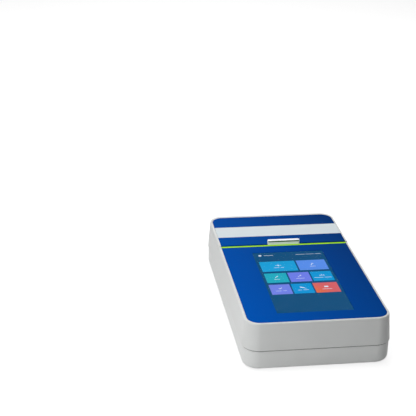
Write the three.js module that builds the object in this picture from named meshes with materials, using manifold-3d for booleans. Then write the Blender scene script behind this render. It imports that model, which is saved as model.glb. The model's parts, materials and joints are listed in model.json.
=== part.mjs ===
// Bench fluorometer: a flat housing with a touch screen and a hinged lid over the sample chamber.
// Millimetres. X runs across the instrument, Y from its front end to the hinge end, Z up.
// The origin is the middle of the footprint, at the level of the feet.

import * as THREE from 'three';
import { mergeVertices } from 'three/addons/utils/BufferGeometryUtils.js';
import Module from 'manifold-3d';

const wasm = await Module();
wasm.setup();

// Driving dimensions
const PANEL_WIDTH = 124;
const PANEL_RADIUS = 11;
const PANEL_THICKNESS = 1.2;
const RIM = 4;
const SCREEN_WIDTH = 68.9;
const SCREEN_LENGTH = 123.1;
const SCREEN_SETBACK = 15.5;
const SCREEN_MARGIN = 13.7;
const STRIP_WIDTH = 2.5;
const LID_GAP = 0.5;
const LID_RISE = 0.9;
const TRAY_LENGTH = 44;
const TRAY_FRONT_MARGIN = 12.2;
const TRAY_REAR_MARGIN = 15.5;
const TRAY_WALL = 1.5;
const TRAY_DEPTH = 8.8;
const FOOT_PROUD = 1;
const BLOCK_BOTTOM_HEIGHT = 4.5;
const BLOCK_HEIGHT = 23.1;
const SEAM_DROP = 25.8;
const PARTING_DROP = 4.2;
const WALL = 2.4;
const FLOOR = 2.5;
const CLEARANCE = 0.3;
const OVERRUN = 5;

// Levels and outlines that follow the driving dimensions
const LID_LENGTH = TRAY_FRONT_MARGIN + TRAY_LENGTH + TRAY_REAR_MARGIN;
const BODY_WIDTH = PANEL_WIDTH + 2 * RIM;
const BODY_LENGTH = RIM + SCREEN_SETBACK + SCREEN_LENGTH + SCREEN_MARGIN + STRIP_WIDTH + LID_GAP + LID_LENGTH;
const PANEL_LENGTH = BODY_LENGTH - 2 * RIM;
const BODY_RADIUS = PANEL_RADIUS + RIM;
const HALF_WIDTH = BODY_WIDTH / 2;
const FRONT = -BODY_LENGTH / 2;
const REAR = BODY_LENGTH / 2;
const BASE_BOTTOM = FOOT_PROUD;
const FLOOR_TOP = BASE_BOTTOM + FLOOR;
const BLOCK_BOTTOM = FLOOR_TOP + BLOCK_BOTTOM_HEIGHT;
const BLOCK_TOP = BLOCK_BOTTOM + BLOCK_HEIGHT;
const TRAY_FLOOR_TOP = BLOCK_TOP + TRAY_WALL;
const PARTING = TRAY_FLOOR_TOP + TRAY_DEPTH;
const PANEL_TOP = PARTING + PARTING_DROP;
const DECK_TOP = PANEL_TOP - PANEL_THICKNESS;
const DECK_UNDERSIDE = DECK_TOP - WALL;
const SEAM = PANEL_TOP - SEAM_DROP;
const LID_TOP = PANEL_TOP + LID_RISE;
const LID_FRONT = REAR - LID_LENGTH;

// Edges of the housing
const SEAM_GROOVE = 0.7;
const BASE_STEP = 0.6;
const BASE_DRAFT = 0.2;
const BASE_ROUNDING = 4.4;
const SIDE_LEAN = 2.1;
const TOP_ROUNDING = 1;
const TONGUE = 1.2;
const TONGUE_RISE = 2.5;
const TONGUE_ROOT = 3;
const ROUNDING_STEPS = 4;
const CORNER_STEPS = 6;

// Lid, its hinge and its opening in the housing
const LID_PLATE = 2;
const LID_SKIRT = 2;
const LID_REAR_SKIRT = 1;
const AXIS_DROP = 7.4;
const KNUCKLE_RADIUS = 2.6;
const KNUCKLE_CLEARANCE = 0.5;
const FLAP_INSET = 26;
const NOTCH = 3.5;
const PIN_RADIUS = 1.25;
const PIN_LENGTH = 14;
const PIN_BOSS = 6;
const TROUGH_WALL = 2;
const REAR_CHAMFER = 0.9;
const REAR_CHAMFER_REACH = 17;
const REAR_CHAMFER_DEPTH = 1.35;
const FLAP_WIDTH = BODY_WIDTH - 2 * FLAP_INSET;
const AXIS_Y = REAR - KNUCKLE_RADIUS;
const AXIS_Z = PANEL_TOP - AXIS_DROP;
const LID_BOTTOM = PARTING + LID_GAP;
const LID_RECESS = LID_TOP - PANEL_THICKNESS;
const LID_UNDERSIDE = LID_RECESS - LID_PLATE;
const TROUGH_RADIUS = KNUCKLE_RADIUS + KNUCKLE_CLEARANCE;
const TROUGH_HALF = FLAP_WIDTH / 2 + NOTCH;

// Fascia: the front panel, the strip and the lid's panel, band and tab
const PANEL_GAP = 0.25;
const STRIP_PROUD = 0.15;
const STRIP_DEPTH = 2.8;
const BAND_FRONT_SETBACK = 19;
const BAND_LENGTH = 24.2;
const BAND_THICKNESS = 0.6;
const TAB_WIDTH = 31.6;
const TAB_DEPTH = 3.8;
const TAB_PROUD = 4.2;
const TAB_RADIUS = 1.4;
const TAB_ROUNDING = 0.35;
const TAB_ROUNDING_SHARE = 0.3;
const TAB_GROOVE_LOW = 2.1;
const TAB_GROOVE_HEIGHT = 1.85;
const TAB_GROOVE_DEPTH = 1.1;
const TAB_GROOVE_END = 0.5;

// Display stack under the screen window
const DISPLAY_BORDER = 3.2;
const DISPLAY_THICKNESS = 4;
const DISPLAY_AIR = 0.3;
const BRACKET_MARGIN = 5;
const BRACKET_THICKNESS = 1.2;
const BRACKET_FRAME = 9;
const BRACKET_BOSS_RADIUS = 2;
const BRACKET_SCREW_INSET = 2.4;

// Sample chamber under the lid
const TRAY_INSET = 20;
const TRAY_RADIUS = 5;
const TRAY_FLANGE = 3;
const TRAY_FLANGE_THICKNESS = 1.2;
const HOLDER_FLANGE_RADIUS = 9;
const HOLDER_FLANGE = 1.5;
const HOLDER_RADIUS = 6.5;
const HOLDER_LENGTH = 7;
const TUBE_RADIUS = 3.95;
const TUBE_TIP_RADIUS = 2.2;
const TUBE_DEPTH = 14.5;
const CHAMBER_Y = LID_FRONT + TRAY_FRONT_MARGIN + TRAY_LENGTH / 2;
const TRAY_WIDTH = BODY_WIDTH - 2 * TRAY_INSET;
const TRAY_UNDERSIDE = TRAY_FLOOR_TOP - TRAY_WALL;
const LINER_MARGIN = 1;
const LINER_THICKNESS = 0.8;
const SEAL_WIDTH = 3;
const MAGNET_RADIUS = 3;
const MAGNET_THICKNESS = 1.5;
const CATCH_RADIUS = 3.5;
const CATCH_THICKNESS = 1;
const CATCH_INSET = 12;
const CATCH_SETBACK = 6.5;
const CATCH_X = HALF_WIDTH - CATCH_INSET;

// Optics block under the chamber
const BLOCK_WIDTH = 44;
const BLOCK_LENGTH = 36;
const EAR_LENGTH = 12;
const EAR_WIDTH = 14;
const EAR_THICKNESS = 3;
const BEAM_HEIGHT = 15.1;
const LED_RADIUS = 2.5;
const LED_FLANGE_RADIUS = 2.9;
const LED_FLANGE = 1;
const LED_LENGTH = 8;
const LED_SETBACK = 0.3;
const FILTER_THICKNESS = 2;
const BEAM_RADIUS = 1.5;
const LED_BORE_DEPTH = 14;
const DETECTOR_RADIUS = 4.9;
const DETECTOR_LENGTH = 4;
const DETECTOR_BORE_DEPTH = 10.5;
const COLLECT_RADIUS = 2.5;
const LENS_THICKNESS = 3;
const LENS_EDGE = 1;
const LENS_SWELL_SHARE = 0.75;
const SMALL_BOARD = 1.6;
const LED_BOARD_SIDE = 14;
const DETECTOR_BOARD_WIDTH = 30;
const DETECTOR_BOARD_HEIGHT = 18;
const BLOCK_FRONT = CHAMBER_Y - BLOCK_LENGTH / 2;
const BEAM_Z = FLOOR_TOP + BEAM_HEIGHT;

// Boards and leads
const BOARD_INSET = 18;
const BOARD_LENGTH = 106;
const BOARD_THICKNESS = 1.6;
const BOARD_FRONT_SETBACK = 23.5;
const STANDOFF_HEIGHT = 4.5;
const STANDOFF_RADIUS = 3;
const BOARD_SCREW_INSET = 4;
const CAN_SIDE = 24;
const CAN_HEIGHT = 3;
const RIBBON_WIDTH = 16;
const RIBBON_THICKNESS = 0.4;
const LEAD_RADIUS = 1.3;
const BOARD_WIDTH = BODY_WIDTH - 2 * BOARD_INSET;
const BOARD_FRONT = FRONT + BOARD_FRONT_SETBACK;
const BOARD_REAR = BOARD_FRONT + BOARD_LENGTH;
const BOARD_UNDERSIDE = FLOOR_TOP + STANDOFF_HEIGHT;
const BOARD_TOP = BOARD_UNDERSIDE + BOARD_THICKNESS;

// Fasteners and feet
const CASE_SCREW_INSET = 13;
const CASE_SCREW_SETBACK = 19.5;
const CASE_SCREW_RADIUS = 1.5;
const CASE_HEAD_RADIUS = 2.8;
const CASE_HEAD_HEIGHT = 2;
const CASE_SCREW_LENGTH = 16;
const CASE_BOSS_RADIUS = 4.2;
const CASE_BOSS_HEIGHT = 10.5;
const COUNTERBORE_DEPTH = 5;
const COUNTERBORE_GAP = 0.4;
const POST_RADIUS = 3.6;
const POST_HOLE_DEPTH = 10;
const SMALL_SCREW_RADIUS = 1.1;
const SMALL_HEAD_RADIUS = 2.2;
const SMALL_HEAD_HEIGHT = 1.4;
const BOARD_SCREW_LENGTH = 5;
const OPTICS_SCREW_LENGTH = 6;
const BRACKET_SCREW_LENGTH = 3;
const RECESS_SHARE = 0.45;
const RECESS_DEPTH_SHARE = 0.5;
const FOOT_RADIUS = 6.5;
const FOOT_SEAT = 1;
const FOOT_ROUNDING = 0.8;
const FOOT_INSET = 18;
const FOOT_SETBACK = 37.5;
const CASE_SCREW_X = HALF_WIDTH - CASE_SCREW_INSET;
const CASE_SCREW_Y = REAR - CASE_SCREW_SETBACK;
const FOOT_X = HALF_WIDTH - FOOT_INSET;
const FOOT_Y = REAR - FOOT_SETBACK;

// Power switch and inlet in the rear wall
const APRON_BOTTOM = 8;
const SWITCH_INSET = 23;
const SWITCH_Z = 21.6;
const BEZEL_WIDTH = 15;
const BEZEL_HEIGHT = 10.5;
const BEZEL_THICKNESS = 1.2;
const SWITCH_WIDTH = 12.8;
const SWITCH_HEIGHT = 8.8;
const SWITCH_DEPTH = 12;
const POCKET_WIDTH = 11.8;
const POCKET_HEIGHT = 7.4;
const POCKET_DEPTH = 7;
const ROCKER_RADIUS = 5.6;
const ROCKER_ANGLE = 40;
const ROCKER_MIDDLE = 2.4;
const ROCKER_PIVOT_DROP = 1;
const ROCKER_TILT = 9;
const JACK_INSET = 36;
const JACK_Z = 20.6;
const JACK_WIDTH = 9;
const JACK_HEIGHT = 11;
const JACK_DEPTH = 12;
const JACK_NECK_RADIUS = 3.6;
const JACK_BORE_RADIUS = 3.1;
const JACK_BORE_DEPTH = 10.5;
const JACK_RECESS = 0.3;
const JACK_PIN_RADIUS = 1;
const JACK_PIN_LENGTH = 9;
const SADDLE_MARGIN = 1;
const APRON_HALF = HALF_WIDTH - BODY_RADIUS;
const SWITCH_X = SWITCH_INSET - HALF_WIDTH;
const JACK_X = HALF_WIDTH - JACK_INSET;

// Colours and finishes
const FINISHES = {
  housing: { color: 0xdfe1e0, roughness: 0.45, metalness: 0 },
  blue: { color: 0x0a489e, roughness: 0.12, metalness: 0 },
  band: { color: 0xdde4ea, roughness: 0.3, metalness: 0 },
  strip: { color: 0xbfe82a, roughness: 0.3, metalness: 0 },
  tab: { color: 0xf0efec, roughness: 0.4, metalness: 0 },
  glass: { color: 0x1a5580, roughness: 0.05, metalness: 0 },
  black: { color: 0x17181a, roughness: 0.55, metalness: 0 },
  rubber: { color: 0x2b2c2e, roughness: 0.9, metalness: 0 },
  steel: { color: 0xb9bcc0, roughness: 0.3, metalness: 1 },
  board: { color: 0x1d5c3a, roughness: 0.5, metalness: 0 },
  blueLens: { color: 0x3c7df0, roughness: 0.1, metalness: 0 },
  redLens: { color: 0xd8352f, roughness: 0.1, metalness: 0 },
  optic: { color: 0xcfe6ee, roughness: 0.05, metalness: 0 },
  lead: { color: 0x9b1f24, roughness: 0.6, metalness: 0 },
};

const parts = new THREE.Group();

// A closed geometry as a solid, with its shared corners merged.
function solid(geometry) {
  geometry.deleteAttribute('normal');
  geometry.deleteAttribute('uv');
  const merged = mergeVertices(geometry, 1e-5);
  return new wasm.Manifold(new wasm.Mesh({
    numProp: 3,
    vertProperties: new Float32Array(merged.attributes.position.array),
    triVerts: new Uint32Array(merged.index.array),
  }));
}

// A solid as a mesh in the scene graph, under its own name.
function place(name, shape, finish, holder = parts) {
  const { numProp, vertProperties, triVerts } = shape.getMesh();
  const geometry = new THREE.BufferGeometry();
  const corners = new Float32Array(vertProperties.length / numProp * 3);
  for (let i = 0; i < corners.length / 3; i += 1) {
    corners.set(vertProperties.subarray(i * numProp, i * numProp + 3), i * 3);
  }
  geometry.setAttribute('position', new THREE.BufferAttribute(corners, 3));
  geometry.setIndex(new THREE.BufferAttribute(new Uint32Array(triVerts), 1));
  geometry.computeVertexNormals();
  const mesh = new THREE.Mesh(geometry, new THREE.MeshStandardMaterial(FINISHES[finish]));
  mesh.name = name;
  holder.add(mesh);
  return mesh;
}

// A block between two corners.
function block(x0, x1, y0, y1, z0, z1) {
  const geometry = new THREE.BoxGeometry(x1 - x0, y1 - y0, z1 - z0);
  geometry.translate((x0 + x1) / 2, (y0 + y1) / 2, (z0 + z1) / 2);
  return solid(geometry);
}

// A block about a middle in X and Y, between two levels.
function slab(x, y, width, length, z0, z1) {
  return block(x - width / 2, x + width / 2, y - length / 2, y + length / 2, z0, z1);
}

// A closed outline extruded upwards between two levels.
function prism(shape, z0, z1) {
  const geometry = new THREE.ExtrudeGeometry(shape, {
    depth: z1 - z0,
    bevelEnabled: false,
    curveSegments: CORNER_STEPS,
  });
  geometry.translate(0, 0, z0);
  return solid(geometry);
}

// A rectangle with four rounded corners, given by its limits.
function roundedShape(x0, x1, y0, y1, radius) {
  const shape = new THREE.Shape();
  shape.moveTo(x0 + radius, y0);
  shape.lineTo(x1 - radius, y0);
  shape.absarc(x1 - radius, y0 + radius, radius, -Math.PI / 2, 0);
  shape.lineTo(x1, y1 - radius);
  shape.absarc(x1 - radius, y1 - radius, radius, 0, Math.PI / 2);
  shape.lineTo(x0 + radius, y1);
  shape.absarc(x0 + radius, y1 - radius, radius, Math.PI / 2, Math.PI);
  shape.lineTo(x0, y0 + radius);
  shape.absarc(x0 + radius, y0 + radius, radius, Math.PI, Math.PI + Math.PI / 2);
  return shape;
}

// A plate with rounded corners about a middle in X and Y.
function plate(x, y, width, length, radius, z0, z1) {
  const shape = roundedShape(x - width / 2, x + width / 2, y - length / 2, y + length / 2, radius);
  return prism(shape, z0, z1);
}

// The points of one level of a stack: a rounded rectangle about x, y.
function ringPoints({ x, y, width, length, radius, z }) {
  const points = [];
  for (let corner = 0; corner < 4; corner += 1) {
    const sideX = corner === 0 || corner === 3 ? 1 : -1;
    const sideY = corner < 2 ? 1 : -1;
    const cx = x + sideX * (width / 2 - radius);
    const cy = y + sideY * (length / 2 - radius);
    for (let i = 0; i <= CORNER_STEPS; i += 1) {
      const angle = (corner + i / CORNER_STEPS) * Math.PI / 2;
      points.push([cx + radius * Math.cos(angle), cy + radius * Math.sin(angle), z]);
    }
  }
  return points;
}

// A stack of rounded rectangles, skinned from the lowest to the highest and closed at both ends.
function stack(rings) {
  const levels = rings.map(ringPoints);
  const count = levels[0].length;
  const positions = levels.flat(2);
  const index = [];
  for (let level = 0; level < levels.length - 1; level += 1) {
    for (let i = 0; i < count; i += 1) {
      const a = level * count + i;
      const b = level * count + (i + 1) % count;
      index.push(a, b, b + count, a, b + count, a + count);
    }
  }
  const last = (levels.length - 1) * count;
  for (let i = 1; i < count - 1; i += 1) {
    index.push(0, i + 1, i);
    index.push(last, last + i, last + i + 1);
  }
  const geometry = new THREE.BufferGeometry();
  geometry.setAttribute('position', new THREE.Float32BufferAttribute(positions, 3));
  geometry.setIndex(index);
  return solid(geometry);
}

// One level of the housing's outline, drawn in by an inset.
function outline(inset, z) {
  return {
    x: 0,
    y: 0,
    width: BODY_WIDTH - 2 * inset,
    length: BODY_LENGTH - 2 * inset,
    radius: BODY_RADIUS - inset,
    z,
  };
}

// A turned piece: radius and height pairs, from the axis round to the axis, along +Z.
function turned(profile, sides) {
  const points = profile.map(([radius, height]) => new THREE.Vector2(radius, height));
  const geometry = new THREE.LatheGeometry(points, sides);
  geometry.rotateX(Math.PI / 2);
  return solid(geometry);
}

// A plain round bar along +Z from the origin.
function bar(radius, length, sides) {
  return turned([[0, 0], [radius, 0], [radius, length], [0, length]], sides);
}

// A round bar between two levels.
function peg(x, y, radius, z0, z1, sides = 14) {
  return bar(radius, z1 - z0, sides).translate([x, y, z0]);
}

// Turns a piece made along +Z so that it runs along +X, -X, +Y or -Y.
function along(shape, direction) {
  const turns = { '+x': [0, 90, 0], '-x': [0, -90, 0], '+y': [-90, 0, 0], '-y': [90, 0, 0] };
  return shape.rotate(turns[direction]);
}

// All solids in a list as one.
function joined(shapes) {
  return shapes.reduce((sum, shape) => sum.add(shape));
}

// A shape with every solid of a list cut from it.
function cut(shape, cutters) {
  return cutters.reduce((rest, cutter) => rest.subtract(cutter), shape);
}

// The same point on both sides and at both ends.
function fourCorners(x, y) {
  return [[-x, -y], [x, -y], [-x, y], [x, y]];
}

// One level of the upper shell or the lid: the front and the sides lean in towards the top, the rear stands upright.
function upperOutline(inset, z) {
  const lean = SIDE_LEAN * (z - SEAM) / SEAM_DROP;
  return {
    x: 0,
    y: lean / 2,
    width: BODY_WIDTH - 2 * (inset + lean),
    length: BODY_LENGTH - 2 * inset - lean,
    radius: BODY_RADIUS - inset - lean,
    z,
  };
}

// Upper levels from the leaning wall up round the top edge.
function roundedTop(low, top) {
  const rings = [upperOutline(0, low)];
  for (let i = 0; i <= ROUNDING_STEPS; i += 1) {
    const angle = i / ROUNDING_STEPS * Math.PI / 2;
    const inset = TOP_ROUNDING * (1 - Math.cos(angle));
    rings.push(upperOutline(inset, top - TOP_ROUNDING * (1 - Math.sin(angle))));
  }
  return rings;
}

// How far the base is drawn in from the top shell at a level.
function baseInset(z) {
  return BASE_STEP + BASE_DRAFT * (SEAM - z) / (SEAM - BASE_BOTTOM);
}

// Base levels: round the bottom edge and up the drafted wall, drawn in by a wall thickness.
function baseRings(wall, bottom, top) {
  const radius = BASE_ROUNDING - wall;
  const rings = [];
  for (let i = 0; i <= ROUNDING_STEPS; i += 1) {
    const angle = i / ROUNDING_STEPS * Math.PI / 2;
    const z = bottom + radius * (1 - Math.cos(angle));
    rings.push(outline(wall + baseInset(z) + radius * (1 - Math.sin(angle)), z));
  }
  rings.push(outline(wall + baseInset(top), top));
  return rings;
}

const displayMiddle = FRONT + RIM + SCREEN_SETBACK + SCREEN_LENGTH / 2;
const displayWidth = SCREEN_WIDTH + 2 * DISPLAY_BORDER;
const displayLength = SCREEN_LENGTH + 2 * DISPLAY_BORDER;
const displayTop = DECK_TOP - DISPLAY_AIR;
const displayBottom = displayTop - DISPLAY_THICKNESS;
const bracketBottom = displayBottom - BRACKET_THICKNESS;
const bracketWidth = displayWidth + 2 * BRACKET_MARGIN;
const bracketLength = displayLength + 2 * BRACKET_MARGIN;
const bracketScrewX = bracketWidth / 2 - BRACKET_SCREW_INSET;
const bracketScrewY = bracketLength / 2 - BRACKET_SCREW_INSET;
const boardMiddle = (BOARD_FRONT + BOARD_REAR) / 2;
const boardScrewX = BOARD_WIDTH / 2 - BOARD_SCREW_INSET;
const boardScrewY = BOARD_LENGTH / 2 - BOARD_SCREW_INSET;
const earScrewX = BLOCK_WIDTH / 2 + EAR_LENGTH / 2;
const stripFront = LID_FRONT - LID_GAP - STRIP_WIDTH;
const stripRear = LID_FRONT - LID_GAP;
const catchY = LID_FRONT + CATCH_SETBACK;
const boltSeat = BASE_BOTTOM + COUNTERBORE_DEPTH;
const bossTop = FLOOR_TOP + CASE_BOSS_HEIGHT;
const jackFace = REAR - JACK_RECESS;
const jackBodyRear = REAR - WALL - CLEARANCE;

// Lower half: a tub with a rounded bottom edge, screw bosses, board standoffs and a locating tongue.
function makeBaseShell() {
  const wallTop = SEAM - SEAM_GROOVE / 2;
  const outer = stack(baseRings(0, BASE_BOTTOM, wallTop));
  const inner = stack(baseRings(WALL, FLOOR_TOP, wallTop).concat(outline(WALL + BASE_STEP, wallTop + OVERRUN)));
  const tongueInset = WALL + CLEARANCE + SIDE_LEAN * TONGUE_RISE / SEAM_DROP;
  const tongueFoot = wallTop - TONGUE_ROOT;
  const tongueTop = wallTop + TONGUE_RISE;
  const tongue = stack([outline(tongueInset, tongueFoot), outline(tongueInset, tongueTop)]).subtract(stack([
    outline(tongueInset + TONGUE, tongueFoot - OVERRUN),
    outline(tongueInset + TONGUE, tongueTop + OVERRUN),
  ]));
  const apronCut = block(
    -APRON_HALF - CLEARANCE, APRON_HALF + CLEARANCE,
    REAR - WALL - TONGUE - 2 * CLEARANCE, REAR + OVERRUN,
    APRON_BOTTOM - CLEARANCE, tongueTop + OVERRUN,
  );
  const tub = joined([outer.subtract(inner), tongue]).subtract(apronCut);
  const sunk = FLOOR_TOP - FLOOR / 2;
  const bosses = fourCorners(CASE_SCREW_X, CASE_SCREW_Y).map(([x, y]) => (
    peg(x, y, CASE_BOSS_RADIUS, sunk, bossTop)
  ));
  const standoffs = fourCorners(boardScrewX, boardScrewY).map(([x, y]) => (
    peg(x, boardMiddle + y, STANDOFF_RADIUS, sunk, BOARD_UNDERSIDE, 10)
  ));
  const pads = [-earScrewX, earScrewX].map((x) => slab(x, CHAMBER_Y, EAR_LENGTH, EAR_WIDTH, sunk, BLOCK_BOTTOM));
  const saddle = slab(
    JACK_X, jackBodyRear - JACK_DEPTH / 2,
    JACK_WIDTH - 2 * SADDLE_MARGIN, JACK_DEPTH - 2 * SADDLE_MARGIN,
    sunk, JACK_Z - JACK_HEIGHT / 2,
  );
  const body = joined([tub, ...bosses, ...standoffs, ...pads, saddle]);
  const holes = [];
  for (const [x, y] of fourCorners(CASE_SCREW_X, CASE_SCREW_Y)) {
    holes.push(peg(x, y, CASE_HEAD_RADIUS + COUNTERBORE_GAP, BASE_BOTTOM - OVERRUN, boltSeat));
    holes.push(peg(x, y, CASE_SCREW_RADIUS + CLEARANCE, BASE_BOTTOM, bossTop + OVERRUN, 10));
  }
  for (const [x, y] of fourCorners(FOOT_X, FOOT_Y)) {
    holes.push(peg(x, y, FOOT_RADIUS + CLEARANCE, BASE_BOTTOM - OVERRUN, BASE_BOTTOM + FOOT_SEAT, 18));
  }
  for (const [x, y] of fourCorners(boardScrewX, boardScrewY)) {
    const depth = BOARD_SCREW_LENGTH - BOARD_THICKNESS + CLEARANCE;
    holes.push(peg(
      x, boardMiddle + y, SMALL_SCREW_RADIUS + CLEARANCE,
      BOARD_UNDERSIDE - depth, BOARD_UNDERSIDE + OVERRUN, 8,
    ));
  }
  for (const x of [-earScrewX, earScrewX]) {
    const depth = OPTICS_SCREW_LENGTH - EAR_THICKNESS + CLEARANCE;
    holes.push(peg(
      x, CHAMBER_Y, SMALL_SCREW_RADIUS + CLEARANCE,
      BLOCK_BOTTOM - depth, BLOCK_BOTTOM + OVERRUN, 8,
    ));
  }
  place('base_shell', cut(body, holes), 'housing');
}

// The cutter that bevels the rear edge of the parting line, where the lid's skirt swings over it.
function makeRearChamfer() {
  const slope = [
    upperOutline(-REAR_CHAMFER, PARTING - 2 * REAR_CHAMFER),
    upperOutline(2 * REAR_CHAMFER, PARTING + REAR_CHAMFER),
  ];
  const band = block(
    -HALF_WIDTH - OVERRUN, HALF_WIDTH + OVERRUN,
    REAR - REAR_CHAMFER_REACH, REAR + OVERRUN,
    PARTING - REAR_CHAMFER_DEPTH, PARTING + REAR_CHAMFER / 2,
  );
  return band.subtract(stack(slope));
}

// The room that the lid's flap and knuckle turn in, open to the rear and above.
function makeTrough() {
  const round = along(bar(TROUGH_RADIUS, 2 * TROUGH_HALF, 20), '+x').translate([-TROUGH_HALF, AXIS_Y, AXIS_Z]);
  const above = block(
    -TROUGH_HALF, TROUGH_HALF, AXIS_Y - TROUGH_RADIUS, REAR + OVERRUN, AXIS_Z, PARTING + OVERRUN,
  );
  const behind = block(
    -TROUGH_HALF, TROUGH_HALF, AXIS_Y, REAR + OVERRUN, AXIS_Z - TROUGH_RADIUS, PARTING + OVERRUN,
  );
  return joined([round, above, behind]);
}

// Upper half: walls, the deck under the fascia, the chamber opening, the hinge trough and the posts.
function makeTopShell() {
  const wallBottom = SEAM + SEAM_GROOVE / 2;
  const rearCeiling = PARTING - WALL;
  const outer = stack(roundedTop(wallBottom, PANEL_TOP));
  const cavity = stack([upperOutline(WALL, wallBottom - OVERRUN), upperOutline(WALL, rearCeiling)]);
  const frontCavity = block(
    -HALF_WIDTH + RIM + WALL, HALF_WIDTH - RIM - WALL,
    FRONT + RIM + WALL, stripFront - WALL,
    rearCeiling - OVERRUN, DECK_UNDERSIDE,
  );
  const lidRoom = block(
    -HALF_WIDTH - OVERRUN, HALF_WIDTH + OVERRUN, stripRear, REAR + OVERRUN, PARTING, PANEL_TOP + OVERRUN,
  );
  const panelSeat = plate(0, 0, PANEL_WIDTH, PANEL_LENGTH, PANEL_RADIUS, DECK_TOP, PANEL_TOP + OVERRUN);
  const stripSeat = block(
    -PANEL_WIDTH / 2, PANEL_WIDTH / 2, stripFront - PANEL_GAP, stripRear + OVERRUN,
    PANEL_TOP + STRIP_PROUD - STRIP_DEPTH, PANEL_TOP + OVERRUN,
  );
  const shell = cut(outer, [cavity, frontCavity, lidRoom, panelSeat, stripSeat]);

  const apron = block(-APRON_HALF, APRON_HALF, REAR - WALL, REAR, APRON_BOTTOM, wallBottom + WALL);
  const hingeBlock = block(
    -TROUGH_HALF - PIN_BOSS, TROUGH_HALF + PIN_BOSS,
    AXIS_Y - TROUGH_RADIUS - TROUGH_WALL, REAR - WALL / 2,
    AXIS_Z - TROUGH_RADIUS - TROUGH_WALL, PARTING,
  );
  const posts = fourCorners(CASE_SCREW_X, CASE_SCREW_Y).map(([x, y]) => (
    peg(x, y, POST_RADIUS, bossTop, (y < 0 ? DECK_UNDERSIDE : rearCeiling) + WALL / 2)
  ));
  const bracketBosses = fourCorners(bracketScrewX, bracketScrewY).map(([x, y]) => (
    peg(x, displayMiddle + y, BRACKET_BOSS_RADIUS, displayBottom, DECK_UNDERSIDE + WALL / 2, 12)
  ));
  const body = joined([shell, apron, hingeBlock, ...posts, ...bracketBosses]);

  const holes = [makeTrough(), makeRearChamfer()];
  holes.push(slab(
    0, displayMiddle, displayWidth + 2 * CLEARANCE, displayLength + 2 * CLEARANCE,
    displayBottom - OVERRUN, PANEL_TOP,
  ));
  holes.push(plate(
    0, CHAMBER_Y, TRAY_WIDTH + 2 * CLEARANCE, TRAY_LENGTH + 2 * CLEARANCE, TRAY_RADIUS,
    rearCeiling - OVERRUN, PARTING + OVERRUN,
  ));
  holes.push(plate(
    0, CHAMBER_Y,
    TRAY_WIDTH + 2 * (TRAY_FLANGE + CLEARANCE), TRAY_LENGTH + 2 * (TRAY_FLANGE + CLEARANCE),
    TRAY_RADIUS + TRAY_FLANGE, PARTING - TRAY_FLANGE_THICKNESS, PARTING + OVERRUN,
  ));
  for (const [x, y] of fourCorners(CASE_SCREW_X, CASE_SCREW_Y)) {
    holes.push(peg(x, y, CASE_SCREW_RADIUS + CLEARANCE, bossTop - OVERRUN, bossTop + POST_HOLE_DEPTH, 10));
  }
  for (const [x, y] of fourCorners(bracketScrewX, bracketScrewY)) {
    const depth = BRACKET_SCREW_LENGTH - BRACKET_THICKNESS + CLEARANCE;
    holes.push(peg(
      x, displayMiddle + y, SMALL_SCREW_RADIUS + CLEARANCE,
      displayBottom - OVERRUN, displayBottom + depth, 8,
    ));
  }
  for (const x of [-CATCH_X, CATCH_X]) {
    holes.push(peg(x, catchY, CATCH_RADIUS + CLEARANCE, PARTING - CATCH_THICKNESS, PARTING + OVERRUN));
  }
  for (const side of ['+x', '-x']) {
    const sign = side === '+x' ? 1 : -1;
    const bore = along(bar(PIN_RADIUS + CLEARANCE, NOTCH + PIN_BOSS - 2 * CLEARANCE, 12), side);
    holes.push(bore.translate([sign * FLAP_WIDTH / 2, AXIS_Y, AXIS_Z]));
  }
  const jackHole = along(bar(JACK_NECK_RADIUS + CLEARANCE, WALL + 2 * OVERRUN, 20), '+y');
  holes.push(jackHole.translate([JACK_X, REAR - WALL - OVERRUN, JACK_Z]));
  holes.push(block(
    SWITCH_X - SWITCH_WIDTH / 2 - CLEARANCE, SWITCH_X + SWITCH_WIDTH / 2 + CLEARANCE,
    REAR - WALL - OVERRUN, REAR + OVERRUN,
    SWITCH_Z - SWITCH_HEIGHT / 2 - CLEARANCE, SWITCH_Z + SWITCH_HEIGHT / 2 + CLEARANCE,
  ));
  place('top_shell', cut(body, holes), 'housing');
}

// Glossy front panel with the screen window, and the clear glass that fills the window.
function makeFrontPanel() {
  const full = plate(
    0, 0, PANEL_WIDTH - 2 * PANEL_GAP, PANEL_LENGTH - 2 * PANEL_GAP, PANEL_RADIUS - PANEL_GAP,
    DECK_TOP, PANEL_TOP,
  );
  const behind = block(
    -HALF_WIDTH, HALF_WIDTH, stripFront - PANEL_GAP, REAR, DECK_TOP - OVERRUN, PANEL_TOP + OVERRUN,
  );
  const glass = slab(0, displayMiddle, SCREEN_WIDTH, SCREEN_LENGTH, DECK_TOP, PANEL_TOP);
  const window = slab(
    0, displayMiddle, SCREEN_WIDTH, SCREEN_LENGTH, DECK_TOP - OVERRUN, PANEL_TOP + OVERRUN,
  );
  place('front_panel', cut(full, [behind, window]), 'blue');
  place('touch_glass', glass, 'glass');
}

// The bright bar between the front panel and the lid.
function makeAccentStrip() {
  const end = PANEL_WIDTH / 2 - PANEL_GAP;
  const top = PANEL_TOP + STRIP_PROUD;
  place('accent_strip', block(-end, end, stripFront, stripRear, top - STRIP_DEPTH, top), 'strip');
}

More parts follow.
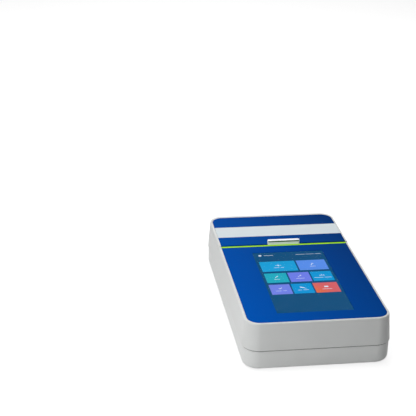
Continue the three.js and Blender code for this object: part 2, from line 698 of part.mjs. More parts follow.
// Display module, and the sheet frame that clamps it under the deck.
function makeDisplay() {
  place('display_module', slab(
    0, displayMiddle, displayWidth, displayLength, displayBottom, displayTop,
  ), 'steel');
  const frame = slab(0, displayMiddle, bracketWidth, bracketLength, bracketBottom, displayBottom);
  const opening = slab(
    0, displayMiddle, bracketWidth - 2 * BRACKET_FRAME, bracketLength - 2 * BRACKET_FRAME,
    bracketBottom - OVERRUN, displayBottom + OVERRUN,
  );
  const holes = fourCorners(bracketScrewX, bracketScrewY).map(([x, y]) => (
    peg(x, displayMiddle + y, SMALL_SCREW_RADIUS + CLEARANCE, bracketBottom - OVERRUN, displayTop, 8)
  ));
  place('display_bracket', cut(frame, [opening, ...holes]), 'steel');
}

// A pan-head screw: the head's underside at the origin, the shank along -Z and a driver recess on top.
function screw(radius, length, headRadius, headHeight, sides) {
  const recess = headRadius * RECESS_SHARE;
  const recessFloor = headHeight * (1 - RECESS_DEPTH_SHARE);
  return turned([
    [0, -length], [radius, -length], [radius, 0], [headRadius, 0],
    [headRadius, headHeight], [recess, headHeight], [recess, recessFloor], [0, recessFloor],
  ], sides);
}

// All screws, each where it clamps its piece.
function makeScrews() {
  const small = (length) => screw(SMALL_SCREW_RADIUS, length, SMALL_HEAD_RADIUS, SMALL_HEAD_HEIGHT, 8);
  fourCorners(CASE_SCREW_X, CASE_SCREW_Y).forEach(([x, y], i) => {
    const upward = screw(CASE_SCREW_RADIUS, CASE_SCREW_LENGTH, CASE_HEAD_RADIUS, CASE_HEAD_HEIGHT, 10);
    place(`case_screw_${i + 1}`, upward.rotate([180, 0, 0]).translate([x, y, boltSeat]), 'steel');
  });
  fourCorners(boardScrewX, boardScrewY).forEach(([x, y], i) => {
    const shape = small(BOARD_SCREW_LENGTH).translate([x, boardMiddle + y, BOARD_TOP]);
    place(`board_screw_${i + 1}`, shape, 'steel');
  });
  fourCorners(bracketScrewX, bracketScrewY).forEach(([x, y], i) => {
    const shape = small(BRACKET_SCREW_LENGTH).rotate([180, 0, 0]);
    place(`bracket_screw_${i + 1}`, shape.translate([x, displayMiddle + y, bracketBottom]), 'steel');
  });
  [['left', -earScrewX], ['right', earScrewX]].forEach(([side, x]) => {
    const shape = small(OPTICS_SCREW_LENGTH).translate([x, CHAMBER_Y, BLOCK_BOTTOM + EAR_THICKNESS]);
    place(`optics_screw_${side}`, shape, 'steel');
  });
}

// Rubber feet, seated in round pockets under the base.
function makeFeet() {
  const height = FOOT_PROUD + FOOT_SEAT;
  const profile = [
    [0, 0], [FOOT_RADIUS - FOOT_ROUNDING, 0], [FOOT_RADIUS, FOOT_ROUNDING],
    [FOOT_RADIUS, height], [0, height],
  ];
  fourCorners(FOOT_X, FOOT_Y).forEach(([x, y], i) => {
    place(`foot_${i + 1}`, turned(profile, 18).translate([x, y, 0]), 'rubber');
  });
}

// Black tray under the lid, and the bush in its floor that takes a sample tube.
function makeChamber() {
  const body = plate(0, CHAMBER_Y, TRAY_WIDTH, TRAY_LENGTH, TRAY_RADIUS, TRAY_UNDERSIDE, PARTING);
  const flange = plate(
    0, CHAMBER_Y, TRAY_WIDTH + 2 * TRAY_FLANGE, TRAY_LENGTH + 2 * TRAY_FLANGE, TRAY_RADIUS + TRAY_FLANGE,
    PARTING - TRAY_FLANGE_THICKNESS, PARTING,
  );
  const hollow = plate(
    0, CHAMBER_Y, TRAY_WIDTH - 2 * TRAY_WALL, TRAY_LENGTH - 2 * TRAY_WALL, TRAY_RADIUS - TRAY_WALL,
    TRAY_FLOOR_TOP, PARTING + OVERRUN,
  );
  const hole = peg(0, CHAMBER_Y, HOLDER_RADIUS + CLEARANCE, TRAY_UNDERSIDE - OVERRUN, PARTING, 20);
  place('chamber_tray', cut(body.add(flange), [hollow, hole]), 'black');

  const holder = turned([
    [TUBE_RADIUS, -HOLDER_LENGTH], [HOLDER_RADIUS, -HOLDER_LENGTH], [HOLDER_RADIUS, 0],
    [HOLDER_FLANGE_RADIUS, 0], [HOLDER_FLANGE_RADIUS, HOLDER_FLANGE / 2],
    [HOLDER_FLANGE_RADIUS - HOLDER_FLANGE / 2, HOLDER_FLANGE],
    [TUBE_RADIUS, HOLDER_FLANGE], [TUBE_RADIUS, -HOLDER_LENGTH],
  ], 20);
  place('tube_holder', holder.translate([0, CHAMBER_Y, TRAY_FLOOR_TOP]), 'black');
}

// Block that carries the light sources, filters, lens and detector round the tube.
function makeOpticsBlock() {
  const body = slab(0, CHAMBER_Y, BLOCK_WIDTH, BLOCK_LENGTH, BLOCK_BOTTOM, BLOCK_TOP);
  const ears = slab(
    0, CHAMBER_Y, BLOCK_WIDTH + 2 * EAR_LENGTH, EAR_WIDTH, BLOCK_BOTTOM, BLOCK_BOTTOM + EAR_THICKNESS,
  );
  const holderBottom = TRAY_FLOOR_TOP - HOLDER_LENGTH;
  const well = turned([
    [0, -TUBE_DEPTH], [TUBE_TIP_RADIUS, -TUBE_DEPTH], [TUBE_RADIUS, 0], [TUBE_RADIUS, OVERRUN], [0, OVERRUN],
  ], 20);
  const cutters = [
    peg(0, CHAMBER_Y, HOLDER_RADIUS + CLEARANCE, holderBottom - CLEARANCE, BLOCK_TOP + OVERRUN, 20),
    well.translate([0, CHAMBER_Y, holderBottom]),
    peg(-earScrewX, CHAMBER_Y, SMALL_SCREW_RADIUS + CLEARANCE, BLOCK_BOTTOM - OVERRUN, BLOCK_TOP, 8),
    peg(earScrewX, CHAMBER_Y, SMALL_SCREW_RADIUS + CLEARANCE, BLOCK_BOTTOM - OVERRUN, BLOCK_TOP, 8),
  ];
  for (const [side, sign] of [['+x', 1], ['-x', -1]]) {
    const bore = along(bar(LED_FLANGE_RADIUS + CLEARANCE, LED_BORE_DEPTH + OVERRUN, 16), side);
    const bottom = sign * (BLOCK_WIDTH / 2 - LED_BORE_DEPTH);
    cutters.push(bore.translate([bottom, CHAMBER_Y, BEAM_Z]));
    const beam = along(bar(BEAM_RADIUS, BLOCK_WIDTH / 2, 12), side);
    cutters.push(beam.translate([0, CHAMBER_Y, BEAM_Z]));
  }
  const bottom = BLOCK_FRONT + DETECTOR_BORE_DEPTH;
  const bore = along(bar(DETECTOR_RADIUS + CLEARANCE, DETECTOR_BORE_DEPTH + OVERRUN, 20), '-y');
  cutters.push(bore.translate([0, bottom, BEAM_Z]));
  const window = along(bar(COLLECT_RADIUS, BLOCK_LENGTH / 2, 12), '-y');
  cutters.push(window.translate([0, CHAMBER_Y, BEAM_Z]));
  place('optics_block', cut(body.add(ears), cutters), 'black');
}

// A domed light source: its flange at the origin and the dome along +Z.
function ledShape() {
  const points = [[0, 0], [LED_FLANGE_RADIUS, 0], [LED_FLANGE_RADIUS, LED_FLANGE], [LED_RADIUS, LED_FLANGE]];
  const domeBase = LED_LENGTH - LED_RADIUS;
  for (let i = 0; i < ROUNDING_STEPS; i += 1) {
    const angle = i / ROUNDING_STEPS * Math.PI / 2;
    points.push([LED_RADIUS * Math.cos(angle), domeBase + LED_RADIUS * Math.sin(angle)]);
  }
  points.push([0, LED_LENGTH]);
  return turned(points, 12);
}

// Both light sources with their filters and boards, and the detector line at right angles to them.
function makeOptics() {
  const sources = [['blue', 'left', '+x', -1, 'blueLens'], ['red', 'right', '-x', 1, 'redLens']];
  for (const [colour, side, direction, sign, finish] of sources) {
    const face = sign * BLOCK_WIDTH / 2;
    const led = along(ledShape(), direction);
    place(`${colour}_led`, led.translate([face - sign * LED_SETBACK, CHAMBER_Y, BEAM_Z]), finish);
    const filterFace = face - sign * (LED_BORE_DEPTH - FILTER_THICKNESS);
    const filter = along(bar(LED_FLANGE_RADIUS, FILTER_THICKNESS, 14), direction);
    place(`${colour}_filter`, filter.translate([filterFace, CHAMBER_Y, BEAM_Z]), finish);
    const boardMid = face + sign * SMALL_BOARD / 2;
    const board = block(
      boardMid - SMALL_BOARD / 2, boardMid + SMALL_BOARD / 2,
      CHAMBER_Y - LED_BOARD_SIDE / 2, CHAMBER_Y + LED_BOARD_SIDE / 2,
      BLOCK_BOTTOM + EAR_THICKNESS + CLEARANCE, BLOCK_BOTTOM + EAR_THICKNESS + CLEARANCE + LED_BOARD_SIDE,
    );
    place(`led_board_${side}`, board, 'board');
  }
  const diode = along(bar(DETECTOR_RADIUS, DETECTOR_LENGTH, 18), '+y');
  place('photodiode', diode.translate([0, BLOCK_FRONT, BEAM_Z]), 'steel');
  const filterFace = BLOCK_FRONT + DETECTOR_LENGTH + CLEARANCE;
  const filter = along(bar(DETECTOR_RADIUS, FILTER_THICKNESS, 18), '+y');
  place('emission_filter', filter.translate([0, filterFace, BEAM_Z]), 'redLens');
  const lensMiddle = filterFace + FILTER_THICKNESS + CLEARANCE + LENS_THICKNESS / 2;
  const swell = (LENS_THICKNESS - LENS_EDGE) / 2;
  const halfway = DETECTOR_RADIUS / 2;
  const lens = turned([
    [0, -LENS_THICKNESS / 2], [halfway, -LENS_EDGE / 2 - swell * LENS_SWELL_SHARE], [DETECTOR_RADIUS, -LENS_EDGE / 2],
    [DETECTOR_RADIUS, LENS_EDGE / 2], [halfway, LENS_EDGE / 2 + swell * LENS_SWELL_SHARE], [0, LENS_THICKNESS / 2],
  ], 18);
  place('collecting_lens', along(lens, '+y').translate([0, lensMiddle, BEAM_Z]), 'optic');
  place('detector_board', block(
    -DETECTOR_BOARD_WIDTH / 2, DETECTOR_BOARD_WIDTH / 2, BLOCK_FRONT - SMALL_BOARD, BLOCK_FRONT,
    BEAM_Z - DETECTOR_BOARD_HEIGHT / 2, BEAM_Z + DETECTOR_BOARD_HEIGHT / 2,
  ), 'board');
}

// Main board on its standoffs, with the shielding can over the processor.
function makeMainBoard() {
  const board = slab(0, boardMiddle, BOARD_WIDTH, BOARD_LENGTH, BOARD_UNDERSIDE, BOARD_TOP);
  const holes = fourCorners(boardScrewX, boardScrewY).map(([x, y]) => (
    peg(x, boardMiddle + y, SMALL_SCREW_RADIUS + CLEARANCE, BOARD_UNDERSIDE - OVERRUN, BOARD_TOP + OVERRUN, 8)
  ));
  place('main_board', cut(board, holes), 'board');
  const can = slab(0, boardMiddle, CAN_SIDE, CAN_SIDE, BOARD_TOP, BOARD_TOP + CAN_HEIGHT);
  place('processor_can', can, 'steel');
}

// A tube or flat cable along a smooth curve through hand-set points.
function swept(points, section, steps) {
  const curve = new THREE.CatmullRomCurve3(points.map(([x, y, z]) => new THREE.Vector3(x, y, z)));
  const geometry = new THREE.ExtrudeGeometry(section, {
    steps,
    bevelEnabled: false,
    extrudePath: curve,
    curveSegments: 2,
  });
  return solid(geometry);
}

// The display's flat cable, and the leads from the inlet and the switch, down to the main board.
function makeCables() {
  const ribbon = new THREE.Shape();
  ribbon.moveTo(-RIBBON_WIDTH / 2, -RIBBON_THICKNESS / 2);
  ribbon.lineTo(RIBBON_WIDTH / 2, -RIBBON_THICKNESS / 2);
  ribbon.lineTo(RIBBON_WIDTH / 2, RIBBON_THICKNESS / 2);
  ribbon.lineTo(-RIBBON_WIDTH / 2, RIBBON_THICKNESS / 2);
  const ribbonTop = displayBottom - CLEARANCE;
  const drop = ribbonTop - BOARD_TOP - CLEARANCE;
  const ribbonShares = [[0, 0], [0.02, 0.25], [0.3, 0.5], [0.02, 0.75], [0, 1]];
  const ribbonY = BOARD_REAR - RIBBON_WIDTH;
  place('display_ribbon', swept(
    ribbonShares.map(([out, down]) => [0, ribbonY + out * drop, ribbonTop - down * drop]), ribbon, 14,
  ), 'black');

  const round = new THREE.Shape();
  round.absarc(0, 0, LEAD_RADIUS, 0, Math.PI * 2);
  const boardEnd = BOARD_REAR - STANDOFF_RADIUS;
  const leadSide = earScrewX + EAR_LENGTH;
  const leadZ = BLOCK_BOTTOM + EAR_THICKNESS;
  const runs = [
    ['power_leads', JACK_X, 1, jackBodyRear - JACK_DEPTH - CLEARANCE, JACK_Z],
    ['switch_leads', SWITCH_X, -1, REAR - SWITCH_DEPTH - CLEARANCE, SWITCH_Z],
  ];
  for (const [name, x, sign, y, z] of runs) {
    place(name, swept([
      [x, y, z],
      [x, y - 2 * LEAD_RADIUS, z],
      [sign * leadSide, CHAMBER_Y + EAR_WIDTH / 2, leadZ],
      [sign * leadSide, CHAMBER_Y - EAR_WIDTH, leadZ],
      [sign * CAN_SIDE, boardEnd + CAN_SIDE / 2, BOARD_TOP + 4 * LEAD_RADIUS],
      [sign * CAN_SIDE, boardEnd, BOARD_TOP + 3 * LEAD_RADIUS],
      [sign * CAN_SIDE, boardEnd, BOARD_TOP + CLEARANCE],
    ], round, 26), 'lead');
  }
}

// Hinge pins in the housing's bosses, and the steel plates that the lid's magnets catch.
function makeHingePinsAndCatches() {
  for (const [side, direction, sign] of [['left', '-x', -1], ['right', '+x', 1]]) {
    const inner = sign * (FLAP_WIDTH / 2 + NOTCH + PIN_BOSS - 3 * CLEARANCE - PIN_LENGTH);
    const pin = along(bar(PIN_RADIUS, PIN_LENGTH, 12), direction);
    place(`hinge_pin_${side}`, pin.translate([inner, AXIS_Y, AXIS_Z]), 'steel');
    place(`catch_plate_${side}`, peg(
      sign * CATCH_X, catchY, CATCH_RADIUS, PARTING - CATCH_THICKNESS, PARTING,
    ), 'steel');
  }
}

// Lid: a shallow cap with a rear flap that ends in the hinge knuckle.
function makeLidShell() {
  const outer = stack(roundedTop(LID_BOTTOM, LID_TOP));
  const front = block(
    -HALF_WIDTH - OVERRUN, HALF_WIDTH + OVERRUN, FRONT - OVERRUN, LID_FRONT,
    LID_BOTTOM - OVERRUN, LID_TOP + OVERRUN,
  );
  const hollowFront = LID_FRONT + LID_SKIRT;
  const hollowRear = REAR - LID_REAR_SKIRT;
  const hollowHalf = HALF_WIDTH - SIDE_LEAN - LID_SKIRT;
  const hollowRadius = BODY_RADIUS - SIDE_LEAN - LID_SKIRT;
  const hollow = prism(roundedShape(
    -hollowHalf, hollowHalf, hollowFront, hollowRear, hollowRadius,
  ), LID_BOTTOM - OVERRUN, LID_UNDERSIDE);
  const squareFront = block(
    -hollowHalf, hollowHalf, hollowFront, hollowFront + BODY_RADIUS,
    LID_BOTTOM - OVERRUN, LID_UNDERSIDE,
  );
  const recess = plate(0, 0, PANEL_WIDTH, PANEL_LENGTH, PANEL_RADIUS, LID_RECESS, LID_TOP + OVERRUN);
  const cap = cut(outer, [front, hollow, squareFront, recess]);

  const knuckle = along(bar(KNUCKLE_RADIUS, FLAP_WIDTH, 16), '+x').translate([-FLAP_WIDTH / 2, AXIS_Y, AXIS_Z]);
  const flap = block(
    -FLAP_WIDTH / 2, FLAP_WIDTH / 2, AXIS_Y - KNUCKLE_RADIUS, REAR,
    AXIS_Z, LID_UNDERSIDE + LID_PLATE / 2,
  );
  const trimmed = flap.intersect(stack(roundedTop(AXIS_Z - OVERRUN, LID_TOP)));
  const bores = [['-x', -1], ['+x', 1]].map(([direction, sign]) => (
    along(bar(PIN_RADIUS + CLEARANCE, PIN_LENGTH, 12), direction)
      .translate([sign * (FLAP_WIDTH / 2 - PIN_LENGTH / 2), AXIS_Y, AXIS_Z])
  ));
  place('lid_shell', cut(joined([cap, trimmed, knuckle]), bores), 'housing');
}

// Glossy panel inlaid in the lid, the pale band in its channel, and the finger tab at its front edge.
function makeLidFascia() {
  const bandFront = LID_FRONT + BAND_FRONT_SETBACK;
  const bandRear = bandFront + BAND_LENGTH;
  const half = PANEL_WIDTH / 2 - PANEL_GAP;
  const bandFloor = LID_TOP - BAND_THICKNESS;
  const full = plate(
    0, 0, PANEL_WIDTH - 2 * PANEL_GAP, PANEL_LENGTH - 2 * PANEL_GAP, PANEL_RADIUS - PANEL_GAP,
    LID_RECESS, LID_TOP,
  );
  const ahead = block(
    -HALF_WIDTH, HALF_WIDTH, FRONT - OVERRUN, LID_FRONT, LID_RECESS - OVERRUN, LID_TOP + OVERRUN,
  );
  const channel = block(-HALF_WIDTH, HALF_WIDTH, bandFront, bandRear, bandFloor, LID_TOP + OVERRUN);
  const notch = slab(
    0, LID_FRONT, TAB_WIDTH + 2 * PANEL_GAP, 2 * (TAB_DEPTH + PANEL_GAP),
    LID_RECESS - OVERRUN, LID_TOP + OVERRUN,
  );
  place('lid_panel', cut(full, [ahead, channel, notch]), 'blue');
  place('lid_band', block(-half, half, bandFront, bandRear, bandFloor, LID_TOP), 'band');

  const tabTop = PANEL_TOP + TAB_PROUD;
  const tabRing = (inset, z) => ({
    x: 0,
    y: LID_FRONT + TAB_DEPTH / 2,
    width: TAB_WIDTH - 2 * inset,
    length: TAB_DEPTH - 2 * inset,
    radius: TAB_RADIUS - inset,
    z,
  });
  const tab = stack([
    tabRing(0, LID_RECESS), tabRing(0, tabTop - TAB_ROUNDING),
    tabRing(TAB_ROUNDING * TAB_ROUNDING_SHARE, tabTop - TAB_ROUNDING * TAB_ROUNDING_SHARE), tabRing(TAB_ROUNDING, tabTop),
  ]);
  const grooveLow = PANEL_TOP + TAB_GROOVE_LOW;
  const groove = slab(
    0, LID_FRONT, TAB_WIDTH - 2 * TAB_GROOVE_END, 2 * TAB_GROOVE_DEPTH,
    grooveLow, grooveLow + TAB_GROOVE_HEIGHT,
  );
  place('lid_tab', tab.subtract(groove), 'tab');
}

// Dark lining under the lid, the soft ring that keeps light out, and the two magnets.
function makeLidLining() {
  const flangeWidth = TRAY_WIDTH + 2 * TRAY_FLANGE;
  const flangeLength = TRAY_LENGTH + 2 * TRAY_FLANGE;
  const linerBottom = LID_UNDERSIDE - LINER_THICKNESS;
  const sealBottom = PARTING + CLEARANCE;
  const cornerRadius = TRAY_RADIUS + TRAY_FLANGE;
  place('lid_liner', plate(
    0, CHAMBER_Y, flangeWidth + 2 * LINER_MARGIN, flangeLength + 2 * LINER_MARGIN,
    cornerRadius + LINER_MARGIN, linerBottom, LID_UNDERSIDE,
  ), 'black');
  const ring = plate(0, CHAMBER_Y, flangeWidth, flangeLength, cornerRadius, sealBottom, linerBottom);
  const opening = plate(
    0, CHAMBER_Y, flangeWidth - 2 * SEAL_WIDTH, flangeLength - 2 * SEAL_WIDTH, cornerRadius - SEAL_WIDTH,
    sealBottom - OVERRUN, linerBottom + OVERRUN,
  );
  place('lid_seal', ring.subtract(opening), 'rubber');
  for (const [side, sign] of [['left', -1], ['right', 1]]) {
    place(`lid_magnet_${side}`, peg(
      sign * CATCH_X, catchY, MAGNET_RADIUS, LID_UNDERSIDE - MAGNET_THICKNESS, LID_UNDERSIDE,
    ), 'steel');
  }
}

// Power switch: a framed housing through the rear wall, and the rocker that tilts in it.
function makeSwitch() {
  const bezel = block(
    SWITCH_X - BEZEL_WIDTH / 2, SWITCH_X + BEZEL_WIDTH / 2, REAR, REAR + BEZEL_THICKNESS,
    SWITCH_Z - BEZEL_HEIGHT / 2, SWITCH_Z + BEZEL_HEIGHT / 2,
  );
  const body = block(
    SWITCH_X - SWITCH_WIDTH / 2, SWITCH_X + SWITCH_WIDTH / 2, REAR - SWITCH_DEPTH, REAR,
    SWITCH_Z - SWITCH_HEIGHT / 2, SWITCH_Z + SWITCH_HEIGHT / 2,
  );
  const pocket = block(
    SWITCH_X - POCKET_WIDTH / 2, SWITCH_X + POCKET_WIDTH / 2,
    REAR + BEZEL_THICKNESS - POCKET_DEPTH, REAR + OVERRUN,
    SWITCH_Z - POCKET_HEIGHT / 2, SWITCH_Z + POCKET_HEIGHT / 2,
  );
  place('switch_housing', bezel.add(body).subtract(pocket), 'black');

  const corner = THREE.MathUtils.degToRad(ROCKER_ANGLE);
  const across = ROCKER_RADIUS * Math.cos(corner);
  const up = ROCKER_RADIUS * Math.sin(corner);
  const profile = new THREE.Shape();
  profile.moveTo(across, up);
  profile.lineTo(0, ROCKER_MIDDLE);
  profile.lineTo(-across, up);
  profile.absarc(0, 0, ROCKER_RADIUS, Math.PI - corner, Math.PI + corner / 2);
  profile.absarc(0, 0, ROCKER_RADIUS, -corner / 2, corner);
  const depth = POCKET_HEIGHT / 2 - CLEARANCE;
  const rocker = prism(profile, -depth, depth).rotate([0, 0, ROCKER_TILT]);
  place('switch_rocker', rocker.translate([SWITCH_X, REAR - ROCKER_PIVOT_DROP, SWITCH_Z]), 'black');
}

// Power inlet: a barrel socket behind the rear wall, with its centre pin.
function makeInlet() {
  const body = block(
    JACK_X - JACK_WIDTH / 2, JACK_X + JACK_WIDTH / 2, jackBodyRear - JACK_DEPTH, jackBodyRear,
    JACK_Z - JACK_HEIGHT / 2, JACK_Z + JACK_HEIGHT / 2,
  );
  const boreBottom = jackFace - JACK_BORE_DEPTH;
  const neck = along(bar(JACK_NECK_RADIUS, jackFace - jackBodyRear + WALL, 20), '+y');
  const bore = along(bar(JACK_BORE_RADIUS, JACK_BORE_DEPTH + OVERRUN, 20), '+y');
  const socket = body.add(neck.translate([JACK_X, jackBodyRear - WALL, JACK_Z]));
  place('dc_jack', socket.subtract(bore.translate([JACK_X, boreBottom, JACK_Z])), 'black');
  const pin = along(bar(JACK_PIN_RADIUS, JACK_PIN_LENGTH, 12), '+y');
  place('dc_pin', pin.translate([JACK_X, boreBottom, JACK_Z]), 'steel');
}

makeBaseShell();
makeTopShell();
makeFrontPanel();
makeAccentStrip();
makeDisplay();
makeScrews();
makeFeet();
makeChamber();
makeOpticsBlock();
makeOptics();
makeMainBoard();
makeCables();
makeHingePinsAndCatches();
makeLidShell();
makeLidFascia();
makeLidLining();
makeSwitch();
makeInlet();

// The origin is moved to the middle of the footprint, because the rocker stands out at the rear.
const bounds = new THREE.Box3().setFromObject(parts, true);
const middle = bounds.getCenter(new THREE.Vector3());
const group = new THREE.Group();
parts.position.set(-middle.x, -middle.y, -bounds.min.z);
group.add(parts);
group.updateMatrixWorld(true);

export default group;
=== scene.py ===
"""Bench fluorometer: the finished look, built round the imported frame.

Sizes are in millimetres in the instrument's own axes: X across, Y from the front end to the hinge
end, Z up from the bench, with the origin at the middle of the housing. ``Workshop.piece`` puts each
finished mesh into the frame, in metres. In the names of sizes, top, bottom, low and high are levels,
front and rear are places along Y, and half is half a width or a length.
"""

from __future__ import annotations

import json
import logging
import math
import sys
from collections.abc import Iterable, Sequence
from dataclasses import dataclass, field
from enum import Enum

import bpy
from mathutils import Matrix, Vector

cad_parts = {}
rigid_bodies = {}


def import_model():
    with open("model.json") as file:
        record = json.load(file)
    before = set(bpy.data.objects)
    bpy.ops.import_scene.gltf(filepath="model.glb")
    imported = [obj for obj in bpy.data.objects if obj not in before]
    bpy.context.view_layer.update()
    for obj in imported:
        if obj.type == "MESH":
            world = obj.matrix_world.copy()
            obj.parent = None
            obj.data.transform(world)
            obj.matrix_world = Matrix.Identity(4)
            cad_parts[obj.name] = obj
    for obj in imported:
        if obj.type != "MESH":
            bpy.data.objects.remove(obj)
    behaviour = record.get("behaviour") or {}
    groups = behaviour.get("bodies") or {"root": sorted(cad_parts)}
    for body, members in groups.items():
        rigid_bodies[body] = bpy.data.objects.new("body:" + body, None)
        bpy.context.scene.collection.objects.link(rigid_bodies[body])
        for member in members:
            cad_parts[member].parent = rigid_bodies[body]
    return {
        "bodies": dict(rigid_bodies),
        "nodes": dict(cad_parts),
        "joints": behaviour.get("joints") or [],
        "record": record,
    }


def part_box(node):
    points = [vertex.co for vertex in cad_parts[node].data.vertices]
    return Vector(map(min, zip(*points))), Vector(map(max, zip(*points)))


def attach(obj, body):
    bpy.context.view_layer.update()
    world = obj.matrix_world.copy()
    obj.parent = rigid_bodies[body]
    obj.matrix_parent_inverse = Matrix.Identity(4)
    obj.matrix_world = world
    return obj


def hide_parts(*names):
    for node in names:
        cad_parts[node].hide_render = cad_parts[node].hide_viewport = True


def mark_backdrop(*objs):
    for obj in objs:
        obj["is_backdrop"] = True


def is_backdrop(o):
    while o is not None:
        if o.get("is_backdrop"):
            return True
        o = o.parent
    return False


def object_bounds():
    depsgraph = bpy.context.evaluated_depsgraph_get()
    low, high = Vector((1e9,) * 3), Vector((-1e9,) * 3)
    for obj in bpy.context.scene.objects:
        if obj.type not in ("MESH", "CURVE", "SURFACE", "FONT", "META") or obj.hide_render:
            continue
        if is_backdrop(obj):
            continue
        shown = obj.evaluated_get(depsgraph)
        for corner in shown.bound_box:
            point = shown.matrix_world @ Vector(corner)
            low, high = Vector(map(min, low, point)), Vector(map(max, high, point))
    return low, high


LOG = logging.getLogger("fluorometer")
MM = 0.001
OVERRUN = 5.0
SHARP_ANGLE = math.radians(32)
SIDES = (("left", -1), ("right", 1))
WHITE = (1.0, 1.0, 1.0, 1.0)

Colour = tuple[float, float, float]
Corner = tuple[float, float]
Outputs = bpy.types.NodeOutputs
Socket = bpy.types.NodeSocket


def srgb(red: int, green: int, blue: int) -> Colour:
    """Turn display values from 0 to 255 into the linear colour that a shader takes."""
    shares = (value / 255 for value in (red, green, blue))
    return tuple(s / 12.92 if s <= 0.04045 else ((s + 0.055) / 1.055) ** 2.4 for s in shares)


class Body(Enum):
    """The moving bodies that pieces ride on."""

    HOUSING = "housing"
    LID = "lid"
    ROCKER = "rocker"


class Cut(Enum):
    """How one solid acts on another."""

    REMOVE = "DIFFERENCE"
    ADD = "UNION"
    KEEP = "INTERSECT"


class Heading(Enum):
    """Where a piece made along +Z is turned to point, as an axis and an angle in degrees."""

    PLUS_X = ("Y", 90.0)
    MINUS_X = ("Y", -90.0)
    PLUS_Y = ("X", -90.0)
    MINUS_Y = ("X", 90.0)
    DOWN = ("X", 180.0)


@dataclass(frozen=True)
class Ring:
    """One level of a loft: a rounded rectangle."""

    # Its level, its size along X and Y, and its corner radius.
    z: float
    width: float
    length: float
    radius: float
    # Its middle along X and Y.
    x: float = 0.0
    y: float = 0.0

    def points(self, steps: int) -> list[Vector]:
        """List the corner arcs' points, anticlockwise from +X.

        Args:
            steps: How many segments each corner has.

        Returns:
            The points at this ring's level.
        """
        least = 0.02
        radius = max(least, min(self.radius, self.width / 2 - least, self.length / 2 - least))
        made = []
        for corner, (side_x, side_y) in enumerate(((1, 1), (-1, 1), (-1, -1), (1, -1))):
            middle_x = self.x + side_x * (self.width / 2 - radius)
            middle_y = self.y + side_y * (self.length / 2 - radius)
            for step in range(steps + 1):
                angle = (corner + step / steps) * math.pi / 2
                x = middle_x + radius * math.cos(angle)
                y = middle_y + radius * math.sin(angle)
                made.append(Vector((x, y, self.z)))
        return made


@dataclass
class Shape:
    """A closed surface, in millimetres."""

    # Its corner points, and the corners of each face, anticlockwise seen from outside.
    points: list[Vector] = field(default_factory=list)
    faces: list[tuple[int, ...]] = field(default_factory=list)

    def placed(self, matrix: Matrix) -> Shape:
        """Give a copy moved by a matrix."""
        return Shape([matrix @ p for p in self.points], list(self.faces))

    def shifted(self, x: float = 0.0, y: float = 0.0, z: float = 0.0) -> Shape:
        """Give a copy moved by a distance."""
        return self.placed(Matrix.Translation((x, y, z)))

    def turned(self, degrees: float, axis: str) -> Shape:
        """Give a copy turned about an axis through the origin."""
        return self.placed(Matrix.Rotation(math.radians(degrees), 4, axis))

    def headed(self, heading: Heading) -> Shape:
        """Give a copy that points along a heading instead of +Z."""
        axis, degrees = heading.value
        return self.turned(degrees, axis)

    def mesh(self, name: str) -> bpy.types.Mesh:
        """Make a Blender mesh with these points and faces."""
        made = bpy.data.meshes.new(name)
        made.from_pydata(self.points, [], self.faces)
        made.validate()
        return made

    @staticmethod
    def of_mesh(source: bpy.types.Mesh) -> Shape:
        """Read a shape back from a Blender mesh."""
        return Shape([v.co.copy() for v in source.vertices], [tuple(p.vertices) for p in source.polygons])

    @staticmethod
    def gathered(shapes: Iterable[Shape]) -> Shape:
        """Put shapes that don't touch into one."""
        whole = Shape()
        for shape in shapes:
            start = len(whole.points)
            whole.points.extend(shape.points)
            whole.faces.extend(tuple(start + i for i in face) for face in shape.faces)
        return whole


def skin(levels: Sequence[Sequence[Vector]], closed: bool = False) -> Shape:
    """Cover a pile of equal loops of points.

    Args:
        levels: The loops, from the lowest to the highest.
        closed: Whether the last loop joins the first one, instead of a face at both ends.

    Returns:
        The closed shape.
    """
    count = len(levels[0])
    total = len(levels) * count
    faces: list[tuple[int, ...]] = []
    for low in range(0, total if closed else total - count, count):
        high = (low + count) % total
        for i in range(count):
            j = (i + 1) % count
            faces.append((low + i, low + j, high + j, high + i))
    if not closed:
        faces.append(tuple(reversed(range(count))))
        faces.append(tuple(range(total - count, total)))
    return Shape([p for level in levels for p in level], faces)


def loft(rings: Sequence[Ring], steps: int = 12) -> Shape:
    """Skin a pile of rounded rectangles.

    Args:
        rings: The levels, from the lowest to the highest.
        steps: How many segments each corner has.

    Returns:
        The closed shape.
    """
    return skin([ring.points(steps) for ring in rings])


def block(x0: float, x1: float, y0: float, y1: float, z0: float, z1: float) -> Shape:
    """Make a plain block between two corners."""
    corners = ((x1, y1), (x0, y1), (x0, y0), (x1, y0))
    return skin([[Vector((x, y, z)) for x, y in corners] for z in (z0, z1)])


def prism(outline: Sequence[Corner], z0: float, z1: float) -> Shape:
    """Extrude a closed outline upwards between two levels."""
    return skin([[Vector((x, y, z)) for x, y in outline] for z in (z0, z1)])


